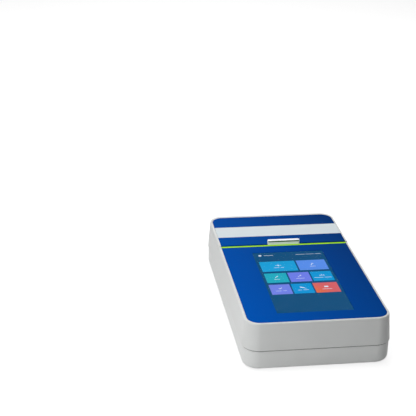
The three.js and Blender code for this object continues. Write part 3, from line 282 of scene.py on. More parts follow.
def lathe(profile: Sequence[Corner], sides: int = 48) -> Shape:
    """Turn a profile about Z.

    Args:
        profile: Radius and height pairs, from the axis round to the axis, or closed on itself.
        sides: How many sides the turned piece has.

    Returns:
        The closed shape.
    """
    ringed = abs(profile[0][0]) > 1e-6
    points: list[Vector] = []
    rows: list[list[int]] = []
    for radius, height in profile[:-1] if ringed else profile:
        start = len(points)
        if radius < 1e-6:
            points.append(Vector((0, 0, height)))
            rows.append([start] * sides)
            continue
        for i in range(sides):
            angle = 2 * math.pi * i / sides
            points.append(Vector((radius * math.cos(angle), radius * math.sin(angle), height)))
        rows.append([start + i for i in range(sides)])
    pairs = list(zip(rows, rows[1:]))
    if ringed:
        pairs.append((rows[-1], rows[0]))
    faces = []
    for low, high in pairs:
        for i in range(sides):
            j = (i + 1) % sides
            corners = dict.fromkeys((low[i], low[j], high[j], high[i]))
            if len(corners) > 2:
                faces.append(tuple(corners))
    return Shape(points, faces)


def rod(radius: float, length: float, sides: int = 48, edge: float = 0.0) -> Shape:
    """Make a round bar along +Z, with its edges broken by a small chamfer if one is given."""
    if edge <= 0:
        return lathe(((0, 0), (radius, 0), (radius, length), (0, length)), sides)
    low = ((0, 0), (radius - edge, 0), (radius, edge))
    return lathe([*low, *((r, length - z) for r, z in reversed(low))], sides)


def tube(inner: float, outer: float, z0: float, z1: float, sides: int) -> Shape:
    """Make an upright ring between two radii and two levels."""
    return lathe(((inner, z0), (outer, z0), (outer, z1), (inner, z1), (inner, z0)), sides)


def arc(middle: Corner, radius: float, start: float, end: float, steps: int) -> list[Corner]:
    """List the points of an arc.

    Args:
        middle: Its middle.
        radius: Its radius.
        start: Its first angle, in degrees.
        end: Its last angle, in degrees.
        steps: How many segments it has.

    Returns:
        The points, both ends included.
    """
    turns = (math.radians(start + (end - start) * i / steps) for i in range(steps + 1))
    return [(middle[0] + radius * math.cos(t), middle[1] + radius * math.sin(t)) for t in turns]


def eased(z0: float, z1: float, low: float, high: float, steps: int = 4) -> list[Corner]:
    """List level and inset pairs of a wall with rounded lower and upper edges.

    Args:
        z0: The lowest level.
        z1: The highest level.
        low: Radius of the lower edge, or 0.
        high: Radius of the upper edge, or 0.
        steps: How many segments each rounding has.

    Returns:
        The pairs from the lowest to the highest.
    """
    turns = [i / steps * math.pi / 2 for i in range(steps + 1)]
    lower = [(z0 + low * (1 - math.cos(t)), low * (1 - math.sin(t))) for t in turns]
    upper = [(z1 - high * (1 - math.sin(t)), high * (1 - math.cos(t))) for t in turns]
    return (lower if low > 0 else [(z0, 0.0)]) + (upper if high > 0 else [(z1, 0.0)])


def bordered(pairs: Sequence[Corner], border: float = 0.3) -> list[Corner]:
    """Add a narrow flat ring inside the upper edge, which keeps the face within it flat in shading."""
    top, inset = pairs[-1]
    return [*pairs, (top, inset + border)]


def slab(
    ring: Ring, top: float, low: float = 0.0, high: float = 0.0, steps: int = 12, edge_steps: int = 4
) -> Shape:
    """Make a plate from its lower outline, with rounded edges.

    Args:
        ring: The outline, at the plate's lower level.
        top: The plate's upper level.
        low: Radius of the lower edge.
        high: Radius of the upper edge.
        steps: How many segments each corner has.
        edge_steps: How many segments each rounded edge has.

    Returns:
        The closed shape.
    """
    levels = bordered(eased(ring.z, top, low, high, edge_steps))
    return loft([inset_ring(ring, inset, z) for z, inset in levels], steps)


def inset_ring(ring: Ring, inset: float, z: float) -> Ring:
    """Draw a ring in by an inset, or out if it is below zero, at a new level."""
    return Ring(z, ring.width - 2 * inset, ring.length - 2 * inset, ring.radius - inset, ring.x, ring.y)


def well(ring: Ring, top: float, flare: float = 0.3, steps: int = 12) -> Shape:
    """Make the cutter of a pocket that opens upwards, with a chamfer round its mouth.

    Args:
        ring: The pocket's outline, at its floor.
        top: The level of the surface that it opens in.
        flare: Size of the chamfer.
        steps: How many segments each corner has.

    Returns:
        The closed cutter.
    """
    levels = ((0, top - flare), (-flare, top), (-flare, top + OVERRUN))
    return loft([ring, *(inset_ring(ring, inset, z) for inset, z in levels)], steps)


def combine(body: Shape, tools: Sequence[Shape], how: Cut) -> Shape:
    """Add solids to a solid, remove them from it, or keep what they share.

    Args:
        body: The solid to work on.
        tools: The other solids.
        how: What to do with them.

    Returns:
        The resulting solid.
    """
    scene = bpy.context.scene
    work = bpy.data.objects.new("work", body.mesh("work"))
    scene.collection.objects.link(work)
    held = []
    for tool in tools:
        other = bpy.data.objects.new("tool", tool.mesh("tool"))
        scene.collection.objects.link(other)
        held.append(other)
        modifier = work.modifiers.new("carve", "BOOLEAN")
        modifier.operation = how.value
        modifier.solver = "EXACT"
        modifier.object = other
    graph = bpy.context.evaluated_depsgraph_get()
    result = bpy.data.meshes.new_from_object(work.evaluated_get(graph))
    shape = Shape.of_mesh(result)
    meshes = [result, work.data, *(other.data for other in held)]
    for item in (work, *held):
        bpy.data.objects.remove(item)
    for item in meshes:
        bpy.data.meshes.remove(item)
    return shape


@dataclass(frozen=True)
class Layout:
    """The levels, outlines and places that the sub-assemblies share, in millimetres."""

    panel_width: float = 124.0
    panel_length: float = 223.0
    panel_radius: float = 11.0
    panel_thickness: float = 1.2
    panel_gap: float = 0.25
    screen_width: float = 68.9
    screen_length: float = 123.1
    screen_y: float = -34.45
    rim: float = 4.0
    bottom: float = 1.0
    floor_top: float = 3.5
    seam: float = 19.8
    parting: float = 41.4
    panel_top: float = 45.6
    lid_top: float = 46.5
    lean: float = 2.1
    top_rounding: float = 1.0
    lid_front: float = 43.8
    lid_gap: float = 0.5
    strip_width: float = 2.5
    wall: float = 2.4
    clearance: float = 0.3
    axis_y: float = 112.9
    axis_z: float = 38.2
    knuckle: float = 2.6
    flap_half: float = 40.0
    pin_bore: float = 1.55
    chamber_y: float = 78.0
    tray_width: float = 92.0
    tray_length: float = 44.0
    tray_radius: float = 5.0
    tray_flange: float = 3.0
    flange_height: float = 1.2
    case_screw: Corner = (53.0, 96.0)
    board_screw: Corner = (44.0, 49.0)
    board_middle: float = -39.0
    bracket_screw: Corner = (40.25, 67.35)
    optics_screw: float = 28.0
    foot: Corner = (48.0, 78.0)
    catch_x: float = 54.0
    catch_y: float = 50.3
    switch_x: float = -43.0
    switch_z: float = 21.6
    jack_x: float = 30.0
    jack_z: float = 20.6
    corner_steps: int = 16
    edge_steps: int = 10

    @property
    def half_width(self) -> float:
        """Half the housing's width."""
        return self.panel_width / 2 + self.rim

    @property
    def rear(self) -> float:
        """Where the rear face is along Y."""
        return self.panel_length / 2 + self.rim

    @property
    def deck_top(self) -> float:
        """The level that the front panel lies on."""
        return self.panel_top - self.panel_thickness

    @property
    def strip_rear(self) -> float:
        """Where the bright strip ends along Y."""
        return self.lid_front - self.lid_gap

    @property
    def strip_front(self) -> float:
        """Where the bright strip starts along Y."""
        return self.strip_rear - self.strip_width

    def board_places(self) -> list[Corner]:
        """List the places of the main board's screws."""
        return [(x, self.board_middle + y) for x, y in four(*self.board_screw)]

    def bracket_places(self) -> list[Corner]:
        """List the places of the display bracket's screws."""
        return [(x, self.screen_y + y) for x, y in four(*self.bracket_screw)]

    def optics_places(self) -> list[Corner]:
        """List the places of the optics block's screws."""
        return [(sign * self.optics_screw, self.chamber_y) for _, sign in SIDES]

    def outline(self, inset: float, z: float) -> Ring:
        """Give the housing's outline at a level, drawn in by an inset."""
        width = 2 * (self.half_width - inset)
        return Ring(z, width, 2 * (self.rear - inset), self.panel_radius + self.rim - inset)

    def lean_at(self, z: float) -> float:
        """Give how far the front and the sides lean in at a level over the seam."""
        return self.lean * (z - self.seam) / (self.panel_top - self.seam)

    def upper(self, inset: float, z: float) -> Ring:
        """Give the outline of the upper shell or the lid at a level, drawn in by an inset."""
        lean = self.lean_at(z)
        width = 2 * (self.half_width - inset - lean)
        length = 2 * (self.rear - inset) - lean
        return Ring(z, width, length, self.panel_radius + self.rim - inset - lean, 0, lean / 2)

    def fascia(self, inset: float, z: float) -> Ring:
        """Give the outline of the blue face at a level, drawn in by an inset."""
        return Ring(z, self.panel_width - 2 * inset, self.panel_length - 2 * inset, self.panel_radius - inset)

    def chamber(self, reach: float, z: float, gap: float = 0.0) -> Ring:
        """Give the tray's outline at a level, grown by a reach, and by a gap that its corners leave out."""
        growth = 2 * (reach + gap)
        radius = self.tray_radius + reach
        return Ring(z, self.tray_width + growth, self.tray_length + growth, radius, 0, self.chamber_y)

    def face_plate(self, low: float, top: float, edge: float) -> Shape:
        """Make the whole blue face between two levels, with a rounded upper edge."""
        pairs = bordered(eased(low, top, 0, edge, 4))
        return loft([self.fascia(self.panel_gap + inset, z) for z, inset in pairs], self.corner_steps)

    def rounded_top(self, low: float, top: float, lower_edge: float) -> list[Ring]:
        """List the levels from a broken lower edge up the leaning wall and round its top edge."""
        pairs = bordered(eased(low, top, lower_edge, self.top_rounding, self.edge_steps))
        return [self.upper(inset, z) for z, inset in pairs]

    def pin_bores(self, start: float, length: float) -> list[Shape]:
        """Make the cutters of the hinge pins' bores, which start at a distance from the middle."""
        headings = ((Heading.PLUS_X, 1), (Heading.MINUS_X, -1))
        bores = ((rod(self.pin_bore, length, 24).headed(heading), sign) for heading, sign in headings)
        return [bore.shifted(sign * start, self.axis_y, self.axis_z) for bore, sign in bores]


def four(x: float, y: float) -> list[Corner]:
    """List the same point on both sides and at both ends."""
    return [(-x, -y), (x, -y), (-x, y), (x, y)]


def post(x: float, y: float, radius: float, z0: float, z1: float, sides: int = 32) -> Shape:
    """Make an upright round bar between two levels."""
    return rod(radius, z1 - z0, sides).shifted(x, y, z0)


class Sockets:
    """Short ways to make and link nodes in one node tree."""

    def __init__(self, tree: bpy.types.NodeTree) -> None:
        """Keep the tree."""
        self.tree = tree

    def node(self, kind: str, **settings: object) -> bpy.types.Node:
        """Make a node.

        Args:
            kind: The node's type name.
            **settings: Its properties by name.

        Returns:
            The new node.
        """
        made = self.tree.nodes.new(kind)
        for name, value in settings.items():
            setattr(made, name, value)
        return made

    def feed(self, target: Socket, source: object) -> None:
        """Link a socket to another one, or set its value."""
        if isinstance(source, Socket):
            self.tree.links.new(source, target)
        else:
            target.default_value = source

    def feed_all(self, node: bpy.types.Node, values: dict[str, object]) -> None:
        """Give a node's inputs their sources or values, by name."""
        for name, value in values.items():
            self.feed(node.inputs[name], value)

    def group(self, tree: bpy.types.NodeTree, values: dict[str, object]) -> bpy.types.Node:
        """Place a node group.

        Args:
            tree: The group.
            values: What each of its inputs gets.

        Returns:
            The group's node.
        """
        made = self.node("ShaderNodeGroup", node_tree=tree)
        self.feed_all(made, values)
        return made

    def split(self, vector: Socket) -> Outputs:
        """Give the three numbers of a vector, under the names X, Y and Z."""
        made = self.node("ShaderNodeSeparateXYZ")
        self.feed(made.inputs[0], vector)
        return made.outputs

    def math(self, operation: str, first: object, second: object, clamp: bool = False) -> Socket:
        """Work out one number from two.

        Args:
            operation: The name of the sum.
            first: A socket or a number.
            second: A socket or a number.
            clamp: Whether the result is kept from 0 to 1.

        Returns:
            The result's socket.
        """
        made = self.node("ShaderNodeMath", operation=operation, use_clamp=clamp)
        self.feed(made.inputs[0], first)
        self.feed(made.inputs[1], second)
        return made.outputs[0]

    def blend(self, share: object, low: object, high: object) -> Socket:
        """Mix two colours.

        Args:
            share: How much of the second colour shows, a socket or a number.
            low: The first colour.
            high: The second colour.

        Returns:
            The mixed colour's socket.
        """
        made = self.node("ShaderNodeMix", data_type="RGBA", clamp_factor=True)
        self.feed(made.inputs[0], share)
        for index, colour in ((6, low), (7, high)):
            self.feed(made.inputs[index], (*colour, 1.0) if isinstance(colour, tuple) else colour)
        return made.outputs[2]

    def remap(
        self, value: object, low: float, high: float, start: float = 0.0, end: float = 1.0
    ) -> Socket:
        """Stretch a value between two limits.

        Args:
            value: The socket to stretch.
            low: What the start becomes.
            high: What the end becomes.
            start: The least value in.
            end: The greatest value in.

        Returns:
            The stretched value's socket.
        """
        made = self.node("ShaderNodeMapRange", clamp=True)
        for index, item in enumerate((value, start, end, low, high)):
            self.feed(made.inputs[index], item)
        return made.outputs[0]

    def noise(self, vector: object, scale: object, detail: float, roughness: float) -> Socket:
        """Make a soft random value over the surface.

        Args:
            vector: Where it is read.
            scale: How many blobs there are in a metre.
            detail: How many finer layers it has.
            roughness: How strong the finer layers are.

        Returns:
            The value's socket.
        """
        made = self.node("ShaderNodeTexNoise")
        self.feed_all(made, {"Vector": vector, "Scale": scale, "Detail": detail, "Roughness": roughness})
        return made.outputs[0]


class SharedEffects:
    """The shader node groups that more than one finish uses, each made once."""

    def __init__(self) -> None:
        """Make the groups."""
        self.grain = self._grain()
        self.wear = self._wear()
        self.dust = self._dust()

    @staticmethod
    def _group(
        name: str, takes: Sequence[str], gives: Sequence[str]
    ) -> tuple[Sockets, Outputs, bpy.types.NodeInputs]:
        """Start a group with its sockets.

        Args:
            name: The group's name.
            takes: The name of each input. Vector and Normal are vectors, the others are numbers.
            gives: The name of each output value.

        Returns:
            The group's nodes, what it is given, and what it gives.
        """
        tree = bpy.data.node_groups.new(name, "ShaderNodeTree")
        for label in takes:
            kind = "NodeSocketVector" if label in ("Vector", "Normal") else "NodeSocketFloat"
            tree.interface.new_socket(label, in_out="INPUT", socket_type=kind)
        for label in gives:
            tree.interface.new_socket(label, in_out="OUTPUT", socket_type="NodeSocketFloat")
        nodes = Sockets(tree)
        return nodes, nodes.node("NodeGroupInput").outputs, nodes.node("NodeGroupOutput").inputs

    def _grain(self) -> bpy.types.NodeTree:
        """Make the fine texture of a mould or a coating, with slow changes of tone."""
        inputs = ("Vector", "Fine Scale", "Tone Scale")
        nodes, takes, gives = self._group("moulded_grain", inputs, ("Height", "Tone"))
        fine = nodes.noise(takes["Vector"], takes["Fine Scale"], 3.0, 0.6)
        coarse = nodes.noise(takes["Vector"], takes["Tone Scale"], 2.0, 0.45)
        nodes.feed(gives["Height"], nodes.remap(fine, 0.0, 1.0, 0.25, 0.75))
        nodes.feed(gives["Tone"], nodes.remap(coarse, 0.0, 1.0, 0.3, 0.7))
        return nodes.tree

    def _wear(self) -> bpy.types.NodeTree:
        """Make a mask that follows the edges, where handling polishes them."""
        nodes, takes, gives = self._group("edge_wear", ("Vector", "Reach", "Patch Scale"), ("Mask",))
        rounded = nodes.node("ShaderNodeBevel", samples=4)
        nodes.feed(rounded.inputs["Radius"], takes["Reach"])
        surface = nodes.node("ShaderNodeNewGeometry")
        turn = nodes.node("ShaderNodeVectorMath", operation="DOT_PRODUCT")
        nodes.feed(turn.inputs[0], rounded.outputs[0])
        nodes.feed(turn.inputs[1], surface.outputs["Normal"])
        edge = nodes.remap(turn.outputs["Value"], 1.0, 0.0, 0.8, 0.995)
        patches = nodes.noise(takes["Vector"], takes["Patch Scale"], 3.0, 0.6)
        nodes.feed(gives["Mask"], nodes.math("MULTIPLY", edge, nodes.remap(patches, 0.0, 1.0, 0.4, 0.6)))
        return nodes.tree

    def _dust(self) -> bpy.types.NodeTree:
        """Make a mask of the thin dust that settles on faces that look up."""
        nodes, takes, gives = self._group("settled_dust", ("Vector", "Normal", "Patch Scale"), ("Mask",))
        upward = nodes.remap(nodes.split(takes["Normal"])["Z"], 0.0, 1.0, 0.3, 1.0)
        patches = nodes.noise(takes["Vector"], takes["Patch Scale"], 4.0, 0.65)
        nodes.feed(gives["Mask"], nodes.math("MULTIPLY", upward, nodes.remap(patches, 0.0, 1.0, 0.45, 0.8)))
        return nodes.tree


@dataclass(frozen=True)
class Coat:
    """A material while it is being made."""

    # Its nodes, and its main shader.
    nodes: Sockets
    shader: bpy.types.Node
    # The place on the piece, and the way that the surface faces.
    place: Socket
    normal: Socket
    effects: SharedEffects

    def give(self, values: dict[str, object]) -> None:
        """Give the shader's inputs their sources or values, by name."""
        self.nodes.feed_all(self.shader, values)

    def grain(self, fine: float, tone: float, place: Socket | None = None) -> Outputs:
        """Place the shared grain.

        Args:
            fine: How many grains there are in a metre.
            tone: How many patches of tone there are in a metre.
            place: Where it is read, if the plain place on the piece is not meant.

        Returns:
            Its Height and Tone.
        """
        values = {"Vector": self.place if place is None else place, "Fine Scale": fine, "Tone Scale": tone}
        return self.nodes.group(self.effects.grain, values).outputs

    def wear(self, reach: float, patches: float, amount: float) -> Socket:
        """Place the shared edge wear.

        Args:
            reach: How far from an edge it goes, in metres.
            patches: How many patches it has in a metre.
            amount: How much of it shows.

        Returns:
            Its mask's socket.
        """
        values = {"Vector": self.place, "Reach": reach, "Patch Scale": patches}
        mask = self.nodes.group(self.effects.wear, values).outputs["Mask"]
        return self.nodes.math("MULTIPLY", mask, amount)

    def settled(self, patches: float, amount: float) -> Socket:
        """Place the shared dust.

        Args:
            patches: How many patches it has in a metre.
            amount: How much of it shows.

        Returns:
            Its mask's socket.
        """
        values = {"Vector": self.place, "Normal": self.normal, "Patch Scale": patches}
        mask = self.nodes.group(self.effects.dust, values).outputs["Mask"]
        return self.nodes.math("MULTIPLY", mask, amount)

    def emboss(self, height: Socket, distance: float, strength: float) -> None:
        """Let a height make the surface uneven.

        Args:
            height: The height's socket.
            distance: The depth of the texture, in metres.
            strength: How much of it shows.
        """
        bump = self.nodes.node("ShaderNodeBump")
        self.nodes.feed_all(bump, {"Strength": strength, "Distance": distance, "Height": height})
        self.give({"Normal": bump.outputs[0]})


def toned(colour: Colour, share: float, lift: float = 0.0) -> Colour:
    """Make a colour deeper or lighter, and add white to it."""
    return tuple(min(1.0, c * share + lift) for c in colour)


@dataclass(frozen=True)
class Finish:
    """What every finish has."""

    # The material's name, and the slot of the record that it stands for.
    name: str
    slot: str
    # Its main colour, linear, and how dull it is, from 0 to 1.
    colour: Colour
    roughness: float

    def build(self, effects: SharedEffects) -> bpy.types.Material:
        """Make the material.

        Args:
            effects: The shared effects.

        Returns:
            The finished material.
        """
        material = bpy.data.materials.new(self.name)
        material.use_nodes = True
        nodes = Sockets(material.node_tree)
        where = nodes.node("ShaderNodeTexCoord").outputs
        shader = material.node_tree.nodes["Principled BSDF"]
        coat = Coat(nodes, shader, where["Object"], where["Normal"], effects)
        coat.give({"Base Color": (*self.colour, 1.0), "Roughness": self.roughness})
        self.dress(coat)
        return material

    def dress(self, coat: Coat) -> None:
        """Set the shader up."""
        raise NotImplementedError


@dataclass(frozen=True)
class Moulding(Finish):
    """A moulded plastic or rubber."""

    # How far the colour varies over the piece, as a share.
    tone: float = 0.03
    # Depth of the mould's texture, in metres, and how many grains there are in a metre.
    grain: float = 0.00002
    grain_scale: float = 2600.0
    # How much lighter the edges are, and how much dust shows on faces that look up.
    wear: float = 0.1
    dust: float = 0.05
    # How strongly it mirrors, and how strongly it lights up in its own colour: painted light that brightens a
    # part which is no lamp.
    ior: float = 1.45
    glow: float = 0.0
    # How much deeper the colour is painted at the right rear than at the left front, as painted shade
    # standing in for the light's falloff, and how far out that goes.
    painted_falloff: float = 0.0
    painted_falloff_reach: float = 0.095
    # The colour of dust, linear.
    haze: Colour = (0.62, 0.6, 0.56)

    def across(self, coat: Coat) -> Socket:
        """Give how far a place is on the way from the left front to the right rear, from 0 to 1, which sets
        how much painted shade it gets.
        """
        parts = coat.nodes.split(coat.place)
        along = coat.nodes.math("ADD", parts["X"], coat.nodes.math("MULTIPLY", parts["Y"], 0.3))
        return coat.nodes.remap(along, 0.0, 1.0, -self.painted_falloff_reach, self.painted_falloff_reach)

    def dress(self, coat: Coat) -> None:
        """Set the shader up.

        Args:
            coat: The material being made.
        """
        nodes = coat.nodes
        grain = coat.grain(self.grain_scale, 22.0)
        dust = coat.settled(90.0, self.dust)
        deep, light = (toned(self.colour, share) for share in (1 - self.tone, 1 + self.tone))
        colour = nodes.blend(grain["Tone"], deep, light)
        # Painted shade: the colour deepens towards the right rear, standing in for the light's falloff across
        # the piece.
        if self.painted_falloff > 0:
            colour = nodes.blend(self.across(coat), colour, toned(self.colour, 1 - self.painted_falloff))
        colour = nodes.blend(coat.wear(0.0006, 160.0, self.wear), colour, toned(self.colour, 0.6, 0.36))
        rough = nodes.remap(grain["Tone"], self.roughness * 0.9, min(1.0, self.roughness * 1.1))
        coat.give(
            {
                "Base Color": nodes.blend(dust, colour, self.haze),
                "Roughness": nodes.math("ADD", rough, dust, clamp=True),
                "IOR": self.ior,
            }
        )
        # Painted light: the part gives off light in its own colour though it is no lamp.
        if self.glow > 0:
            coat.give({"Emission Color": (*self.colour, 1.0), "Emission Strength": self.glow})
        if self.grain > 0:
            coat.emboss(grain["Height"], self.grain, 0.6)


@dataclass(frozen=True)
class Metal(Finish):
    """A metal, brushed or plated."""

    # How far the brushing stretches the texture along X.
    brush: float = 12.0
    # Depth of the texture, in metres.
    grain: float = 0.000004
    # How much of it is bare metal.
    metallic: float = 1.0

    def dress(self, coat: Coat) -> None:
        """Set the shader up.

        Args:
            coat: The material being made.
        """
        nodes = coat.nodes
        mapping = nodes.node("ShaderNodeMapping")
        nodes.feed_all(mapping, {"Scale": (1.0 / self.brush, 1.0, 1.0), "Vector": coat.place})
        grain = coat.grain(5200.0, 140.0, mapping.outputs[0])
        plain = nodes.blend(grain["Tone"], toned(self.colour, 0.86), self.colour)
        dullest = min(1.0, self.roughness * 1.25)
        coat.give(
            {
                "Base Color": nodes.blend(coat.wear(0.0003, 300.0, 0.5), plain, toned(self.colour, 0.5, 0.5)),
                "Roughness": nodes.remap(grain["Height"], self.roughness * 0.75, dullest),
                "Metallic": self.metallic,
            }
        )
        coat.emboss(grain["Height"], self.grain, 0.5)


@dataclass(frozen=True)
class Clear(Finish):
    """A clear or tinted glass."""

    # How strongly it bends and mirrors light, and how far finger marks dull it.
    ior: float = 1.45
    smears: float = 0.03

    def dress(self, coat: Coat) -> None:
        """Set the shader up.

        Args:
            coat: The material being made.
        """
        tone = coat.grain(900.0, 45.0)["Tone"]
        smeared = coat.nodes.remap(tone, self.roughness, self.roughness + self.smears)
        coat.give({"Roughness": smeared, "IOR": self.ior, "Transmission Weight": 1.0})


@dataclass(frozen=True)
class Lit(Finish):
    """A lit area of the display."""

    # The colour that it fades to, linear.
    second: Colour | None = None
    # Where the fade starts and ends, in metres along X then Y in the frame.
    fade_from: Corner = (0.0, 0.0)
    fade_to: Corner = (0.0, 1.0)

    def faded(self, coat: Coat) -> Socket:
        """Give how far a place is on the way of the fade, from 0 to 1."""
        nodes = coat.nodes
        start, end = Vector(self.fade_from), Vector(self.fade_to)
        way = (end - start) / (end - start).length_squared
        parts = nodes.split(coat.place)
        along_x = nodes.math("MULTIPLY", parts["X"], way.x)
        along_y = nodes.math("MULTIPLY", parts["Y"], way.y)
        return nodes.math("SUBTRACT", nodes.math("ADD", along_x, along_y), start.dot(way), clamp=True)

    def dress(self, coat: Coat) -> None:
        """Set the shader up.

        Args:
            coat: The material being made.
        """
        glow = coat.nodes.blend(coat.grain(3000.0, 60.0)["Tone"], toned(self.colour, 0.97), self.colour)
        if self.second is not None:
            glow = coat.nodes.blend(self.faded(coat), glow, self.second)
        off = (0.004, 0.004, 0.004, 1.0)
        coat.give({"Base Color": off, "IOR": 1.01, "Emission Color": glow, "Emission Strength": 1.0})


@dataclass(frozen=True)
class CircuitBoard(Finish):
    """A printed circuit board with tracks under its mask."""

    # The colour of a track seen through the mask, linear.
    track: Colour = (0.05, 0.3, 0.12)
    # How many fields of tracks there are in a metre, and how far they stand out, in metres.
    track_scale: float = 130.0
    track_depth: float = 0.00003

    def dress(self, coat: Coat) -> None:
        """Set the shader up.

        Args:
            coat: The material being made.
        """
        nodes = coat.nodes
        cells = nodes.node("ShaderNodeTexVoronoi", feature="F1", distance="CHEBYCHEV")
        nodes.feed_all(cells, {"Scale": self.track_scale, "Vector": coat.place})
        steps = nodes.math("FRACT", nodes.math("MULTIPLY", cells.outputs["Distance"], 9.0), 0.0)
        tracks = nodes.math("GREATER_THAN", steps, 0.62)
        rough = nodes.remap(coat.grain(4000.0, 60.0)["Height"], 0.28, 0.42)
        coat.give({"Base Color": nodes.blend(tracks, self.colour, self.track), "Roughness": rough})
        coat.emboss(tracks, self.track_depth, 0.7)


class Palette:
    """The finishes of this instrument."""

    HOUSING = Moulding("light_grey_housing", "housing", srgb(226, 228, 227), 0.42, grain=0.000025, wear=0.25)
    # A lighter copy of the housing plastic for the lower shell: painted light standing in for the floor's
    # light reflected onto it.
    BASE_PAINTED_LIGHT = Moulding("light_grey_base_painted_light", "housing", srgb(233, 235, 234), 0.42, grain=0.000025, wear=0.25)
    # The blue is painted deeper towards the right rear: painted shade in place of the light's falloff across
    # the face.
    BLUE = Moulding(
        "glossy_blue_face", "blue_panel", srgb(0, 86, 185), 0.1,
        tone=0.01, grain=0.0, wear=0.02, dust=0.0, ior=1.03, painted_falloff=0.64,
    )
    BAND = Moulding("pale_band", "pale_band", srgb(220, 229, 233), 0.6, 0.01, 0.000006, wear=0.05, dust=0.0)
    # The strip's glow is painted light that makes the coloured trim look brighter; it is no lamp.
    STRIP = Moulding(
        "yellow_green_strip", "bright_strip", srgb(158, 220, 22), 0.25,
        tone=0.02, grain=0.000004, dust=0.0, ior=1.1, glow=0.2,
    )
    # The tab's glow is painted light that brightens its shaded front face; the tab is no lamp.
    TAB = Moulding("white_tab", "white_tab", srgb(245, 246, 250), 0.5, 0.01, 0.0, dust=0.0, glow=0.15)
    # Dark olive for the tab's groove: painted shade with a painted green bounce from the strip.
    TAB_GROOVE_SHADE = Moulding("painted_groove_shade", "white_tab", srgb(62, 124, 40), 0.45, tone=0.03, dust=0.0)
    GLASS = Clear("touch_glass", "screen_glass", (0.97, 0.99, 0.99), 0.0, ior=1.01, smears=0.01)
    BLACK = Moulding("black_plastic", "black_plastic", srgb(30, 31, 33), 0.5, 0.06, 0.00004, wear=0.08)
    GLOSS_BLACK = Moulding("gloss_black", "black_plastic", srgb(22, 23, 25), 0.25, 0.04, 0.00001, wear=0.08)
    MARK = Moulding("white_mark", "white_tab", srgb(228, 228, 226), 0.5, tone=0.02)
    RUBBER = Moulding("foot_rubber", "rubber", srgb(44, 45, 47), 0.85, 0.08, 0.00005, 3200.0, 0.05, dust=0.2)
    ANODISED = Metal("black_anodised", "black_metal", srgb(38, 39, 42), 0.45, brush=1.0, metallic=0.8)
    STEEL = Metal("plated_steel", "steel", srgb(196, 199, 203), 0.3)
    BOARD = CircuitBoard("green_board", "circuit_board", (0.012, 0.11, 0.045), 0.35)
    BLUE_OPTIC = Clear("blue_optic", "blue_optic", srgb(60, 125, 240), 0.05)
    RED_OPTIC = Clear("red_optic", "red_optic", srgb(216, 53, 47), 0.05)
    CLEAR_OPTIC = Clear("clear_optic", "clear_optic", srgb(215, 236, 242), 0.02)
    LEAD = Moulding("lead_jacket", "lead_jacket", srgb(155, 31, 36), 0.55, tone=0.05)


class Workshop:
    """Turns shapes into pieces of the frame, and keeps the materials."""

    def __init__(self, effects: SharedEffects) -> None:
        """Find where the instrument stands in the frame.

        Args:
            effects: The shared effects.
        """
        low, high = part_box("top_shell")
        self.effects = effects
        self.into_frame = Matrix.Translation((0, (low.y + high.y) / 2, 0)) @ Matrix.Scale(MM, 4)
        self.materials: dict[str, bpy.types.Material] = {}
        self.count = 0

    def material(self, finish: Finish) -> bpy.types.Material:
        """Give a finish's material, made on first use."""
        if finish.name not in self.materials:
            self.materials[finish.name] = finish.build(self.effects)
        return self.materials[finish.name]

    def finish_mesh(
        self, name: str, mesh: bpy.types.Mesh, finish: Finish, body: Body, stands_for: Sequence[str] = ()
    ) -> None:
        """Dress a mesh that is already in the frame, and tie it to its body.

        Args:
            name: The piece's name.
            mesh: Its mesh, in metres.
            finish: What it is finished with.
            body: The body that it rides on.
            stands_for: The CAD nodes that it replaces.
        """
        made = bpy.data.objects.new(name, mesh)
        bpy.context.scene.collection.objects.link(made)
        mesh.materials.clear()
        mesh.materials.append(self.material(finish))
        mesh.shade_smooth()
        mesh.set_sharp_from_angle(angle=SHARP_ANGLE)
        shading = made.modifiers.new("shading", "WEIGHTED_NORMAL")
        shading.keep_sharp = True
        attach(made, body.value)
        if stands_for:
            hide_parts(*stands_for)
        self.count += 1
        LOG.info("%s: %d faces, rides on %s", name, len(mesh.polygons), body.value)

    def piece(self, name: str, shape: Shape, finish: Finish, body: Body, *stands_for: str) -> None:
        """Make a finished piece from a shape.

        Args:
            name: The piece's name.
            shape: Its shape, in millimetres.
            finish: What it is finished with.
            body: The body that it rides on.
            *stands_for: The CAD nodes that it replaces.
        """
        mesh = shape.mesh(name)
        mesh.transform(self.into_frame)
        self.finish_mesh(name, mesh, finish, body, stands_for)

    def dress(self, node: bpy.types.Object, finish: Finish) -> None:
        """Give a CAD node that stays its finish."""
        node.data.materials.clear()
        node.data.materials.append(self.material(finish))
        LOG.info("%s: kept from the frame, finished as %s", node.name, finish.name)


